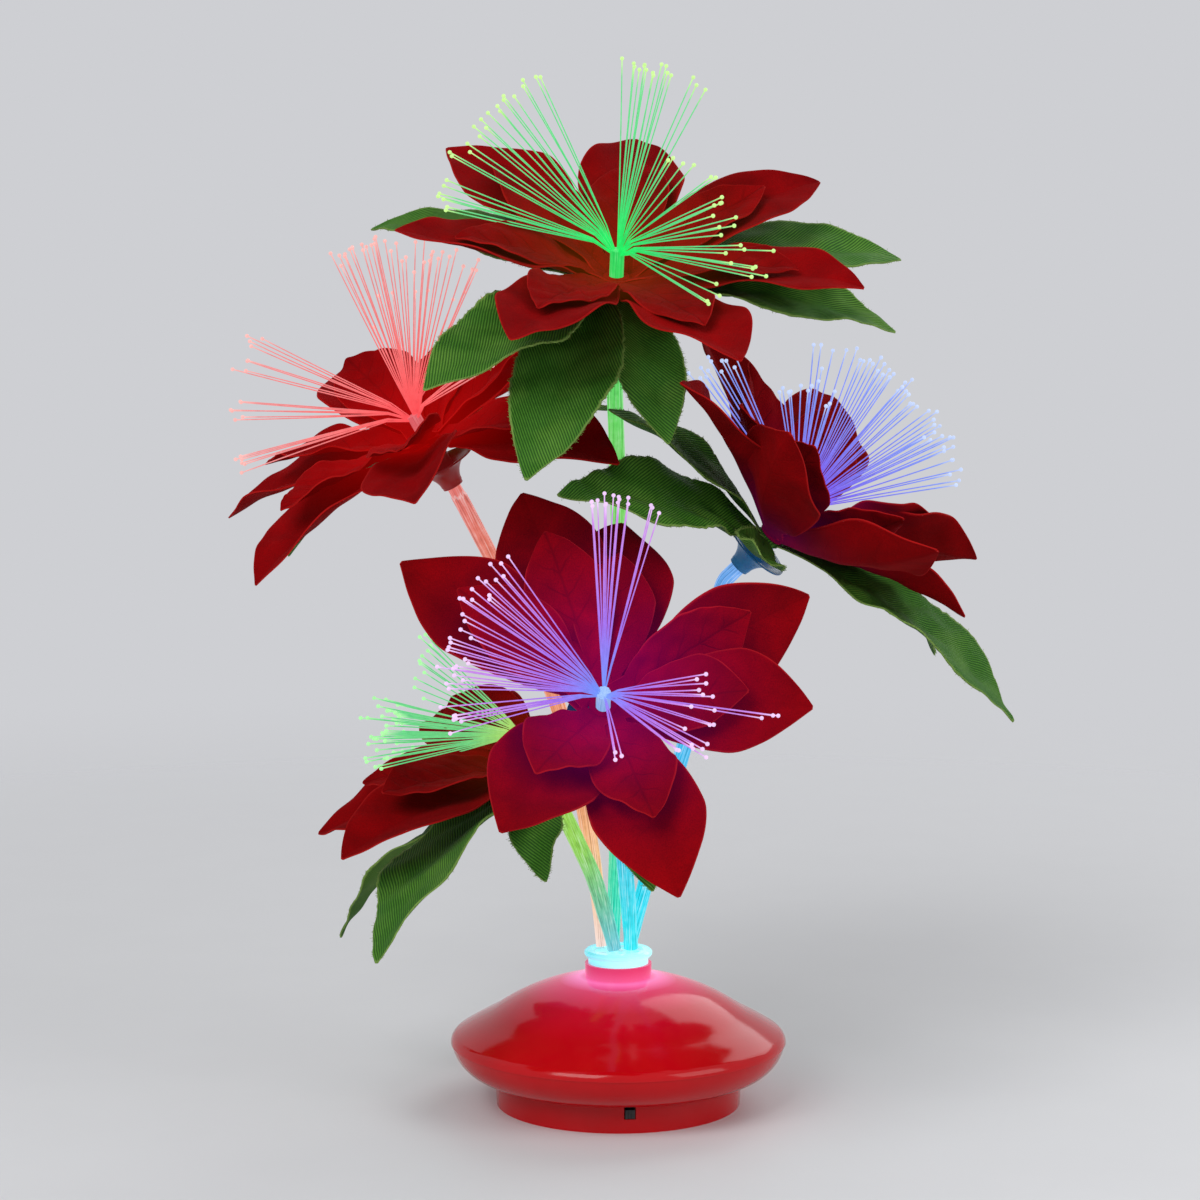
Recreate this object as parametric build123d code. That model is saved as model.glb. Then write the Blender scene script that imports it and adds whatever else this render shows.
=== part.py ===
from build123d import *
from math import cos, pi, radians, sin, sqrt, tan
import os

# Fibre-optic flower centrepiece: a red battery base, a clear collar in its neck,
# and five fabric flowers on bundles of light fibres. Millimetres, +Z up, the
# origin on the table under the middle of the base, the switch on the -Y side.

# Clearances
slip = 0.1
running = 0.3
pin_play = 0.08

# Base outline
base_radius = 52.5
seam_z = 19.5
shell_wall = 2.0
seam_step = 0.25
foot_radius = 38.6
foot_height = 9.0
foot_wall = 1.7
foot_draft = 0.4
foot_fillet = 1.2
shoulder_in = 1.6
shoulder_up = 2.9
saddle_in = 9.9
saddle_up = 7.7
dome_in = 13.9
dome_up = 10.1
dome_rise = 20.7
lip_inset = 3.3
lip_wall = 1.0
lip_height = 1.2
bowl_rise_angle = 8

# Neck, collar and stem holder
neck_wall = 0.9
neck_height = 4.2
collar_radius = 9.4
collar_wall = 1.5
collar_length = 13.4
collar_stand = 4.2
flange_overhang = 1.2
flange_height = 2.0
flange_chamfer = 0.6
flange_relief = 0.4
collar_step = 0.7
ledge_width = 1.5
ledge_height = 1.2
holder_height = 8.2
holder_sink = 0.4
root_end_drop = 2.2

# Battery cells, tray and door
cell_radius = 7.25
cell_length = 50.5
cell_pitch = 15.0
cell_rows = 3
nub_radius = 2.7
nub_length = 1.5
spring_room = 5.6
contact_sheet = 0.4
contact_height = 9.0
contact_margin = 3.9
spring_width = 5.0
spring_half_height = 4.0
spring_sheet = 0.5
spring_taper = 0.8
floor_bottom = 1.6
floor_thickness = 2.6
cell_lift = 0.3
cell_side_room = 0.75
tray_corner = 4.0
tray_wall = 1.5
door_thickness = 1.8
door_sink = 0.5
door_ledge = 0.9
hinge_setback = 3.2
hinge_reach = 1.6
latch_width = 12.0
latch_height = 2.4
latch_thickness = 1.0
latch_root = 0.5
thumb_radius = 5.0
thumb_depth = 0.8

# Case screws
screw_angles = (65, 115, 245, 295)
screw_circle = 32.4
screw_radius = 1.25
screw_head_radius = 2.7
screw_head_height = 2.2
screw_slot = 0.8
boss_radius = 4.2
boss_height = 7.8
counterbore_depth = 4.9
post_radius = 3.2
screw_bite = 9.0
pilot_spare = 1.0

# Light board
board_radius = 14.0
board_thickness = 1.6
board_lift = 4.5
board_post_radius = 2.5
board_post_offset = 10.0
board_screw_radius = 0.95
board_screw_head_radius = 2.2
board_screw_head_height = 1.4
board_screw_spare = 1.0
led_radius = 2.5
led_length = 8.6
led_flange = 0.4
led_flange_height = 1.0
led_circle = 3.9
led_count = 3
wire_radius = 0.6
wire_bend = 1.8
switch_wire_offset = 3.4
battery_wire_offset = 4.0
battery_wire_inset = 4.0
switch_wire_drop = 2.0
wire_lane_gap = 2.0
board_edge_inset = 2.0

# Slide switch
switch_setback = 0.7
slot_width = 3.5
slot_bottom = 4.45
knob_width = 2.9
knob_height = 2.7
knob_proud = 0.35
knob_grooves = 2
knob_groove = 0.35
knob_travel = 1.5
slider_width = 4.6
slider_depth = 1.4
switch_width = 8.6
switch_depth = 5.5
switch_height = 7.2

# Stems, cups and fibre sprays
stem_radius = 2.3
socket_circle = 4.7
first_socket_angle = -110
socket_step = 72
stem_lead = 24.0
stem_tail = 11.0
bend_share = 0.45
cup_length = 12.6
cup_radius = 11.0
cup_neck_wall = 1.0
cup_tube_wall = 1.2
cup_wall = 0.5
cup_depth = 4.1
spray_disc_radius = 2.2
spray_disc_height = 2.0
fibres_per_flower = 62
fibre_radius = 0.2
fibre_sides = 3
fibre_length = 56.0
fibre_raggedness = 0.05
fibre_spread = 1.85
spray_clumps = 3
clumping = 0.2

# Petals and leaves: a die-cut sheet on an eyelet, creased along each midrib,
# with its widths as shares of the widest at stations from its root to its tip
sheet_thickness = 0.6
eyelet_wall = 1.8
eyelet_height = 1.6
whorl_pitch = 1.8
petal_bite = 0.4
petal_stations = (0.0, 0.12, 0.28, 0.46, 0.64, 0.83, 1.0)
petal_widths = (0.11, 0.30, 0.64, 0.92, 1.0, 0.66, 0.05)
outer_length = 74.0
outer_width = 33.0
outer_fold = 0.28
outer_droop = 16.0
inner_share = 0.73
inner_width = 25.0
inner_fold = 0.30
inner_droop = 12.0
inner_lift = 11.0
inner_rise_limit = 40.0
leaf_slimness = 0.39
leaf_fold = 0.22
leaf_droop = 34.0

# Each flower: hub centre, lean of its axis (heading from +X, tilt from upright),
# lean of its fibre spray and the spray's half angle, the points that its stem
# goes through, outer petals as (turn, rise, share of the full length) and leaves
# as (turn, rise, length)
flowers = {
    "right": dict(
        socket=2, hub=(48.8, 7.0, 177.9), heading=-25, tilt=46,
        spray_heading=-25, spray_tilt=40, spray_angle=60,
        route=[(12.0, 4.0, 82.0), (32.0, 11.0, 144.0)],
        petals=[(-150, 22, 1.0), (-106, 18, 1.0), (-64, 22, 0.94), (-20, 26, 0.84), (26, 20, 1.0),
                (88, 22, 1.0), (142, 20, 0.94)],
        leaves=[(-147, -15, 80), (-170, 0, 66), (-104, -10, 46), (-6, 6, 96), (28, -2, 88)],
    ),
    "top": dict(
        socket=3, hub=(-0.8, 0.0, 255.9), heading=-90, tilt=22,
        spray_heading=-90, spray_tilt=18, spray_angle=62,
        route=[(2.5, 7.0, 130.0)],
        petals=[(-20, 9, 1.0), (28, 17, 1.0), (80, 16, 1.0), (132, 20, 1.0), (-171, 17, 0.92),
                (-118, 9, 1.0), (-68, 4, 1.0)],
        leaves=[(150, 2, 84), (-136, -10, 82), (-115, -26, 80), (-76, -32, 56), (-10, -6, 84), (14, 0, 92)],
    ),
    "left": dict(
        socket=4, hub=(-56.8, 32.0, 204.7), heading=-165, tilt=30,
        spray_heading=-165, spray_tilt=23, spray_angle=56,
        route=[(-9.0, 13.0, 104.0), (-33.0, 26.0, 160.0)],
        petals=[(-50, -16, 1.0), (10, 0, 1.0), (57, 8, 1.0), (102, 18, 1.0), (154, 4, 1.0),
                (-148, -2, 1.0), (-98, 2, 1.0)],
        leaves=[(28, -22, 70), (75, -6, 80), (135, -14, 84)],
    ),
    "low": dict(
        socket=0, hub=(-24.5, -4.0, 107.0), heading=180, tilt=26,
        spray_heading=180, spray_tilt=66, spray_angle=35,
        route=[(-6.0, -4.5, 68.0)],
        petals=[(-146, 8, 1.0), (160, 6, 1.0), (108, 14, 1.0)],
        leaves=[(-140, -12, 88), (158, -16, 88), (-108, -30, 46), (120, -12, 70)],
    ),
    "front": dict(
        socket=1, hub=(-8.5, -42.0, 130.9), heading=-94, tilt=58,
        spray_heading=-94, spray_tilt=50, spray_angle=58,
        route=[(1.5, -7.5, 84.0)],
        petals=[(140, 9, 0.96), (104, 1, 0.98), (79, -3, 0.82), (22, 12, 0.90), (-12, 19, 0.82),
                (-78, 19, 0.96), (-124, 27, 0.82)],
        leaves=[(116, -24, 58), (22, -14, 60), (-80, 0, 56)],
    ),
}


def save(name, shape):
    """Write one node's solids to its own STEP file."""
    os.makedirs("parts", exist_ok=True)
    export_step(shape, f"parts/{name}.step")


def rz(radius, height):
    """A point of a turned profile."""
    return Vector(radius, 0, height)


def heading_vector(angle):
    """A direction in a turned profile, in degrees from straight out."""
    return Vector(cos(radians(angle)), 0, sin(radians(angle)))


def arc_from(start, direction, end):
    return Edge.make_tangent_arc(start, direction, end)


def chain(points, direction):
    """Tangent arcs through the points, leaving the first one along direction."""
    edges = []
    for start, end in zip(points[:-1], points[1:]):
        edges.append(arc_from(start, direction, end))
        direction = edges[-1] % 1
    return edges


def lines(points):
    return [Edge.make_line(a, b) for a, b in zip(points[:-1], points[1:])]


def turned(edges):
    return revolve(Face(Wire(edges)), axis=Axis.Z)


def tube(outer, inner, bottom, height):
    """An upright ring."""
    ring = Cylinder(outer, height, align=(Align.CENTER, Align.CENTER, Align.MIN))
    ring -= Cylinder(inner, height, align=(Align.CENTER, Align.CENTER, Align.MIN))
    return Pos(0, 0, bottom) * ring


def rod(radius, bottom, height, x=0.0, y=0.0):
    """An upright round bar."""
    return Pos(x, y, bottom) * Cylinder(radius, height, align=(Align.CENTER, Align.CENTER, Align.MIN))


def block(x0, x1, y0, y1, z0, z1):
    return Pos((x0 + x1) / 2, (y0 + y1) / 2, (z0 + z1) / 2) * Box(x1 - x0, y1 - y0, z1 - z0)


def slab(half_x, half_y, corner, bottom, top):
    """A rounded plate."""
    outline = RectangleRounded(2 * half_x, 2 * half_y, corner)
    return Pos(0, 0, bottom) * extrude(outline, top - bottom)


def polar(radius, angle):
    return radius * cos(radians(angle)), radius * sin(radians(angle))


# Heights and sizes that follow from the driving dimensions
dome_z = seam_z + dome_rise
neck_bore = collar_radius + slip
neck_radius = neck_bore + neck_wall
neck_top = dome_z + neck_height
foot_inner = foot_radius - foot_wall
floor_top = floor_bottom + floor_thickness
tray_half_x = cell_length / 2 + spring_room / 2 + contact_sheet
tray_half_y = cell_pitch * (cell_rows - 1) / 2 + cell_radius + cell_side_room
cell_z = floor_top + cell_lift + cell_radius
tray_ceiling = cell_z + cell_radius + cell_lift
tray_top = tray_ceiling + tray_wall
boss_top = floor_top + boss_height
board_z = tray_top + board_lift
board_top = board_z + board_thickness
collar_bottom = neck_top + collar_stand - collar_length
collar_top = collar_bottom + collar_length
holder_top = collar_top - holder_sink
holder_radius = collar_radius - collar_wall - slip
pivot_z = holder_top + running
screw_spots = [polar(screw_circle, angle) for angle in screw_angles]
board_posts = [(0, board_post_offset), (0, -board_post_offset)]
socket_spots = [polar(socket_circle, first_socket_angle + socket_step * i) for i in range(len(flowers))]
switch_front = switch_setback - foot_inner
slot_top = slot_bottom + knob_height + knob_travel + 2 * running
door_bottom = floor_bottom + door_sink
door_top = door_bottom + door_thickness
hinge_x = -(tray_half_x + door_ledge - hinge_setback) + door_thickness / 2
hinge_z = door_bottom + door_thickness / 2
sleeve_bore = stem_radius + slip
cup_top = -whorl_pitch - eyelet_height / 2
cup_bottom = cup_top - cup_length


def make_upper_shell():
    """Domed upper half: shoulder, saddle, dome, neck and the collar's seat."""
    outer_points = [
        rz(base_radius, seam_z),
        rz(base_radius - shoulder_in, seam_z + shoulder_up),
        rz(base_radius - saddle_in, seam_z + saddle_up),
        rz(base_radius - dome_in, seam_z + dome_up),
        rz(neck_radius, dome_z),
    ]
    start = heading_vector(90)
    outer = chain(outer_points, start)
    tangents = [start] + [edge % 1 for edge in outer]
    inner_points = [p + Vector(-t.Z, 0, t.X) * shell_wall for p, t in zip(outer_points, tangents)]
    inner = chain(inner_points, start)
    bore_out = inner_points[-1].X
    ledge_bottom = collar_bottom - ledge_height
    neck = lines([
        outer_points[-1],
        rz(neck_radius, neck_top),
        rz(neck_bore, neck_top),
        rz(neck_bore, collar_bottom),
        rz(neck_bore - ledge_width, collar_bottom),
        rz(neck_bore - ledge_width, ledge_bottom),
        rz(bore_out, ledge_bottom),
        inner_points[-1],
    ])
    shell = turned(outer + neck + inner + lines([inner_points[0], outer_points[0]]))
    under = turned(outer + lines([outer_points[-1], rz(0, dome_z), rz(0, seam_z), outer_points[0]]))
    under += rod(base_radius, 0, seam_z)
    for x, y in screw_spots:
        post = rod(post_radius, boss_top, dome_z - boss_top, x, y) & under
        shell += post
    for x, y in screw_spots:
        shell -= rod(screw_radius + slip / 2, boss_top, screw_bite + pilot_spare, x, y)
    return shell


def make_lower_shell():
    """Bowl, foot ring, floor, battery tray, screw bosses, board posts, switch slot."""
    foot_top = rz(foot_radius, foot_height - foot_fillet)
    bowl_start = rz(foot_radius + foot_fillet, foot_height)
    rim = rz(base_radius - seam_step, seam_z)
    fillet_edge = arc_from(foot_top, Vector(0, 0, 1), bowl_start)
    bowl_edge = arc_from(bowl_start, fillet_edge % 1, rim)
    lip_radius = base_radius - lip_inset
    lip_inner = lip_radius - lip_wall
    inner_start = rz(foot_inner, foot_height + shell_wall)
    inner_end = rz(lip_inner, seam_z - shell_wall)
    inner_edge = arc_from(inner_start, heading_vector(bowl_rise_angle), inner_end)
    top = lines([
        rim,
        rz(lip_radius, seam_z),
        rz(lip_radius, seam_z + lip_height),
        rz(lip_inner, seam_z + lip_height),
        inner_end,
    ])
    foot = lines([inner_start, rz(foot_inner, 0), rz(foot_radius - foot_draft, 0), foot_top])
    shell = turned([fillet_edge, bowl_edge] + top + [inner_edge] + foot)
    shell += rod(foot_inner + slip, floor_bottom, floor_thickness)
    shell += slab(tray_half_x + tray_wall, tray_half_y + tray_wall, tray_corner + tray_wall,
                  floor_bottom, tray_top)
    for x, y in screw_spots:
        shell += rod(boss_radius, floor_bottom, boss_top - floor_bottom, x, y)
    for x, y in board_posts:
        shell += rod(board_post_radius, tray_ceiling, board_z - tray_ceiling, x, y)
    shell -= slab(tray_half_x, tray_half_y, tray_corner, floor_top, tray_ceiling)
    shell -= door_outline(running, 0, floor_top)
    pin_length = 2 * (tray_half_y + door_ledge + hinge_reach) + 2 * running
    shell -= hinge_rod(door_thickness / 2 + pin_play, pin_length)
    for x, y in screw_spots:
        shell -= rod(screw_head_radius + running, floor_bottom, counterbore_depth, x, y)
        shell -= rod(screw_radius + 2 * slip, floor_bottom, boss_height + floor_thickness, x, y)
    for x, y in board_posts:
        shell -= rod(board_screw_radius + slip / 2, tray_top, board_lift, x, y)
    shell -= block(-slot_width / 2, slot_width / 2, -foot_radius - 2 * foot_fillet, -foot_inner + foot_wall,
                   slot_bottom, slot_top)
    return shell


def door_outline(grow, bottom, top):
    """The door's plate: a rounded rectangle cut straight along its hinge."""
    plate = slab(tray_half_x + door_ledge + grow, tray_half_y + door_ledge + grow,
                 tray_corner + door_ledge + grow, bottom, top)
    edge = hinge_x - door_thickness / 2 - grow
    reach = tray_half_x + tray_half_y
    return plate & block(edge, reach, -reach, reach, bottom, top)


def hinge_rod(radius, length):
    return Pos(hinge_x, 0, hinge_z) * Rot(X=90) * Cylinder(radius, length)


def make_battery_door():
    """Flush hinged door with a rounded hinge edge, end pins and a snap lip."""
    door = door_outline(0, door_bottom, door_top)
    door -= block(hinge_x - door_thickness, hinge_x, -tray_half_x, tray_half_x, 0, floor_top)
    edge_length = 2 * sqrt((tray_corner + door_ledge) ** 2 - (hinge_setback - tray_corner - door_ledge) ** 2)
    straight = 2 * (tray_half_y - tray_corner)
    door += hinge_rod(door_thickness / 2, straight + edge_length)
    door += hinge_rod(door_thickness / 2, 2 * (tray_half_y + door_ledge + hinge_reach))
    lip_x = tray_half_x - running
    door += block(lip_x - latch_thickness, lip_x, -latch_width / 2, latch_width / 2,
                  door_top - latch_root, door_top + latch_height)
    door -= rod(thumb_radius, door_bottom, thumb_depth, tray_half_x - thumb_radius, 0)
    return door


def cell_rows_y():
    first = -cell_pitch * (cell_rows - 1) / 2
    return [first + cell_pitch * i for i in range(cell_rows)]


def cell_side(index):
    """Which end of the tray a cell's positive nub faces."""
    return 1 if index % 2 == 0 else -1


def make_battery_cells():
    """Three cells side by side, turned alternately."""
    cells = []
    face = tray_half_x - contact_sheet
    body = cell_length - nub_length
    for index, y in enumerate(cell_rows_y()):
        side = cell_side(index)
        cell = Pos(side * (face - nub_length - body / 2), y, cell_z) * Rot(Y=90) * Cylinder(cell_radius, body)
        cell += Pos(side * (face - nub_length / 2), y, cell_z) * Rot(Y=90) * Cylinder(nub_radius, nub_length)
        cells.append(cell)
    return Compound(children=cells)


def contact_plate(side, y0, y1, negatives):
    """A sheet against the tray's end wall, with a bent spring at each negative end."""
    wall = side * tray_half_x
    face = side * (tray_half_x - contact_sheet)
    half = contact_height / 2
    plate = block(min(wall, face), max(wall, face), y0, y1, cell_z - half, cell_z + half)
    reach = spring_room - contact_sheet
    for y in negatives:
        half_inside = spring_half_height * spring_taper
        outer = [(face, spring_half_height), (face - side * reach, 0), (face, -spring_half_height)]
        inner = [(face, -half_inside), (face - side * (reach - spring_sheet), 0), (face, half_inside)]
        outline = Polyline(*[(x, y - spring_width / 2, cell_z + z) for x, z in outer + inner], close=True)
        plate += extrude(make_face(outline), amount=spring_width, dir=(0, 1, 0))
    return plate


def make_battery_contacts():
    """Two end sheets and two bridges that put the cells in series."""
    rows = cell_rows_y()
    m = contact_margin
    plates = [
        contact_plate(1, rows[0] - m, rows[0] + m, []),
        contact_plate(1, rows[1] - m, rows[2] + m, [rows[1]]),
        contact_plate(-1, rows[0] - m, rows[1] + m, [rows[0]]),
        contact_plate(-1, rows[2] - m, rows[2] + m, [rows[2]]),
    ]
    return Compound(children=plates)


def make_case_screws():
    screws = []
    seat = floor_bottom + counterbore_depth
    bottom = seat - screw_head_height
    for x, y in screw_spots:
        screw = rod(screw_head_radius, bottom, screw_head_height, x, y)
        screw += rod(screw_radius, seat, boss_top - seat + screw_bite, x, y)
        for half_x, half_y in ((screw_head_radius, screw_slot / 2), (screw_slot / 2, screw_head_radius)):
            screw -= block(x - half_x, x + half_x, y - half_y, y + half_y, bottom, bottom + screw_slot)
        screws.append(screw)
    return Compound(children=screws)


def make_led_board():
    board = rod(board_radius, board_z, board_thickness)
    for x, y in board_posts:
        board -= rod(board_screw_radius + running, board_z, board_thickness, x, y)
    return board


def make_board_screws():
    screws = []
    for x, y in board_posts:
        screw = rod(board_screw_head_radius, board_top, board_screw_head_height, x, y)
        tip = board_z - board_lift + board_screw_spare
        screw += rod(board_screw_radius, tip, board_top - tip, x, y)
        screws.append(screw)
    return Compound(children=screws)


def make_leds():
    """Round-topped lamps standing on the board under the fibre ends."""
    lamps = []
    for i in range(led_count):
        x, y = polar(led_circle, 90 + 360 / led_count * i)
        lamp = rod(led_radius + led_flange, board_top, led_flange_height, x, y)
        lamp += rod(led_radius, board_top, led_length - led_radius, x, y)
        lamp += Pos(x, y, board_top + led_length - led_radius) * Sphere(led_radius)
        lamps.append(lamp)
    return Compound(children=lamps)


def wire(points):
    path = FilletPolyline(*points, radius=wire_bend)
    return sweep(Plane(path @ 0, z_dir=path % 0) * Circle(wire_radius), path=path)


def make_wires():
    """Switch to board, and one battery end to board, over the top of the tray."""
    run_z = (tray_top + board_z) / 2
    rear = switch_front + switch_depth
    switch_z = floor_top + switch_height - switch_wire_drop
    lane = -(tray_half_y + tray_wall + wire_lane_gap)
    board_edge = board_radius - board_edge_inset
    wires = []
    for x in (-switch_wire_offset, switch_wire_offset):
        wires.append(wire([(x, rear, switch_z), (x, lane, switch_z), (x, lane, run_z),
                           (x, -board_edge, run_z), (x, -board_edge, board_z)]))
    y = battery_wire_offset
    tray_end = tray_half_x - battery_wire_inset
    wires.append(wire([(tray_end, y, tray_top), (tray_end, y, run_z), (board_edge, y, run_z),
                       (board_edge, y, board_z)]))
    return Compound(children=wires)


def make_switch_body():
    """Switch housing behind the foot wall, with a pocket for the slider."""
    body = block(-switch_width / 2, switch_width / 2, switch_front, switch_front + switch_depth,
                 floor_top, floor_top + switch_height)
    pocket = slider_depth + 2 * running
    body -= block(-slider_width / 2 - running, slider_width / 2 + running, switch_front,
                  switch_front + pocket, slot_bottom, slot_top)
    return body


def make_switch_knob():
    """Ribbed black knob on its slider, low in the slot at rest."""
    front = switch_front + slip
    rear = front + slider_depth
    bottom = slot_bottom + running
    top = bottom + knob_height
    face = -foot_radius - knob_proud
    knob = block(-slider_width / 2, slider_width / 2, front, rear, bottom, top)
    knob += block(-knob_width / 2, knob_width / 2, face, rear, bottom, top)
    for i in range(knob_grooves):
        x = knob_width * ((i + 1) / (knob_grooves + 1) - 0.5)
        knob -= block(x - knob_groove / 2, x + knob_groove / 2, face, face + knob_groove, bottom, top)
    return knob


def make_collar():
    """Clear flanged sleeve that plugs into the neck."""
    bore = collar_radius - collar_wall
    flange = collar_radius + flange_overhang
    under = collar_top - flange_height
    sleeve = turned(lines([
        rz(bore - collar_step, collar_bottom),
        rz(collar_radius, collar_bottom),
        rz(collar_radius, under),
        rz(flange - flange_relief, under),
        rz(flange, under + flange_chamfer),
        rz(flange, collar_top - flange_chamfer),
        rz(flange - flange_chamfer, collar_top),
        rz(bore, collar_top),
        rz(bore, holder_top - holder_height),
        rz(bore - collar_step, holder_top - holder_height),
        rz(bore - collar_step, collar_bottom),
    ]))
    return sleeve


def make_stem_holder():
    """Plug with a socket for each stem, seated on the collar's step."""
    holder = rod(holder_radius, holder_top - holder_height, holder_height)
    for x, y in socket_spots:
        holder -= rod(stem_radius + running, holder_top - holder_height, holder_height, x, y)
    return holder


def make_fibre_roots():
    """Cut ends of the five bundles, facing the lamps."""
    bottom = holder_top - holder_height - root_end_drop
    top = pivot_z - stem_radius - running
    return Compound(children=[rod(stem_radius, bottom, top - bottom, x, y) for x, y in socket_spots])


def leaning(heading, tilt):
    """A turn that leans +Z over by tilt towards heading, without spin."""
    return Rot(Z=heading) * Rot(Y=tilt) * Rot(Z=-heading)


def flower_place(flower):
    return Pos(*flower["hub"]) * leaning(flower["heading"], flower["tilt"])


def bend_radii(points):
    """The largest bends that the runs leave room for, the last one ending below the cup."""
    radii = []
    last = len(points) - 3
    for i, (a, b, c) in enumerate(zip(points[:-2], points[1:-1], points[2:])):
        before = Vector(*b) - Vector(*a)
        after = Vector(*c) - Vector(*b)
        turn = radians(before.get_angle(after))
        run = bend_share * min(before.length, after.length)
        if i == last:
            run = min(run, stem_lead + cup_bottom - running)
        radii.append(run / tan(turn / 2))
    return radii


def make_stem(flower):
    """Bundle in its film sleeve, from a ball end in the collar to the spray."""
    x, y = socket_spots[flower["socket"]]
    place = flower_place(flower)
    lead = (place * Pos(0, 0, -stem_lead)).position
    tail = (place * Pos(0, 0, stem_tail)).position
    points = [(x, y, pivot_z)] + flower["route"] + [tuple(lead), tuple(tail)]
    path = FilletPolyline(*points, radius=bend_radii(points))
    stem = sweep(Plane(path @ 0, z_dir=path % 0) * Circle(stem_radius), path=path)
    stem += Pos(x, y, pivot_z) * Sphere(stem_radius)
    return stem


def make_cup(flower):
    """Trumpet-shaped calyx with a tube round the stem."""
    rim_z = cup_top - cup_depth
    neck = sleeve_bore + cup_neck_wall
    tube_out = sleeve_bore + cup_tube_wall
    throat = cup_bottom + 2 * cup_wall
    outer = arc_from(rz(neck, cup_bottom), Vector(0, 0, 1), rz(cup_radius, rim_z - cup_wall))
    inner = arc_from(rz(tube_out, throat), Vector(0, 0, 1), rz(cup_radius, rim_z))
    edges = [outer, Edge.make_line(rz(cup_radius, rim_z - cup_wall), rz(cup_radius, rim_z)), inner]
    edges += lines([
        rz(tube_out, throat),
        rz(tube_out, cup_top),
        rz(sleeve_bore, cup_top),
        rz(sleeve_bore, cup_bottom),
        rz(neck, cup_bottom),
    ])
    return flower_place(flower) * turned(edges)


def petal(length, width, fold, droop, rise, level):
    """One creased petal along +X: a ruled loft through folded sections."""
    start_angle = radians(rise + droop / 2)
    bend = radians(droop)
    arm = length / bend
    start_x = sleeve_bore + eyelet_wall - petal_bite
    sections = []
    for t, share in zip(petal_stations, petal_widths):
        angle = start_angle - bend * t
        x = start_x + arm * (sin(start_angle) - sin(angle))
        z = level + arm * (cos(angle) - cos(start_angle))
        half = width / 2 * share
        edge = fold * half
        plane = Plane((x, 0, z), x_dir=(0, 1, 0), z_dir=(cos(angle), 0, sin(angle)))
        outline = Polyline((-half, edge), (0, 0), (half, edge), (half, edge + sheet_thickness),
                           (0, sheet_thickness), (-half, edge + sheet_thickness), close=True)
        sections.append(plane * make_face(outline))
    return loft(sections, ruled=True)


def whorl(flower, middle, shapes):
    """Petals fused to their eyelet; middle is the eyelet's middle height."""
    bottom = middle - eyelet_height / 2
    sheet = tube(sleeve_bore + eyelet_wall, sleeve_bore, bottom, eyelet_height)
    level = middle - sheet_thickness / 2
    for turn, rise, length, width, fold, droop in shapes:
        sheet += Rot(Z=turn) * petal(length, width, fold, droop, rise, level)
    return flower_place(flower) * sheet


def make_outer_petals(flower):
    shapes = [(turn, rise, outer_length * share, outer_width, outer_fold, outer_droop)
              for turn, rise, share in flower["petals"]]
    return whorl(flower, 0, shapes)


def make_inner_petals(flower):
    length = outer_length * inner_share
    shapes = []
    for turn, rise, share in flower["petals"]:
        inner_rise = min(rise + inner_lift, inner_rise_limit)
        shapes.append((turn, inner_rise, length * share, inner_width, inner_fold, inner_droop))
    return whorl(flower, whorl_pitch, shapes)


def make_leaves(flower):
    shapes = [(turn, rise, length, length * leaf_slimness, leaf_fold, leaf_droop)
              for turn, rise, length in flower["leaves"]]
    return whorl(flower, -whorl_pitch, shapes)


def make_fibres(flower):
    """Fibres fanning out of a slice of the bundle, none crossing another."""
    place = flower_place(flower) * Pos(0, 0, stem_tail)
    disc = place * rod(spray_disc_radius, 0, spray_disc_height)
    lean = leaning(flower["spray_heading"], flower["spray_tilt"])
    golden = pi * (3 - sqrt(5))
    strands = []
    for i in range(fibres_per_flower):
        share = sqrt((i + 0.5) / fibres_per_flower)
        angle = golden * i + clumping * sin(spray_clumps * golden * i)
        x = fibre_spread * share * cos(angle)
        y = fibre_spread * share * sin(angle)
        root = (place * Pos(x, y, spray_disc_height / 2)).position
        polar_angle = radians(flower["spray_angle"]) * share
        aim = Vector(sin(polar_angle) * cos(angle), sin(polar_angle) * sin(angle), cos(polar_angle))
        aim = (lean * Pos(*aim)).position
        section = Plane(root, z_dir=aim) * RegularPolygon(fibre_radius, fibre_sides)
        length = fibre_length * (1 - fibre_raggedness * (1 - cos(golden * i * i)))
        strands.append(extrude(section, amount=length, dir=aim))
    return disc.fuse(*strands)


save("upper_shell", make_upper_shell())
save("lower_shell", make_lower_shell())
save("battery_door", make_battery_door())
save("battery_cells", make_battery_cells())
save("battery_contacts", make_battery_contacts())
save("case_screws", make_case_screws())
save("led_board", make_led_board())
save("board_screws", make_board_screws())
save("leds", make_leds())
save("wires", make_wires())
save("switch_body", make_switch_body())
save("switch_knob", make_switch_knob())
save("collar", make_collar())
save("stem_holder", make_stem_holder())
save("fibre_roots", make_fibre_roots())

for name, flower in flowers.items():
    save(f"{name}_stem", make_stem(flower))
    save(f"{name}_cup", make_cup(flower))
    save(f"{name}_leaves", make_leaves(flower))
    save(f"{name}_outer_petals", make_outer_petals(flower))
    save(f"{name}_inner_petals", make_inner_petals(flower))
    save(f"{name}_fibres", make_fibres(flower))
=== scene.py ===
import math
import bpy
import numpy as np
from mathutils import Matrix, Vector


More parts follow.
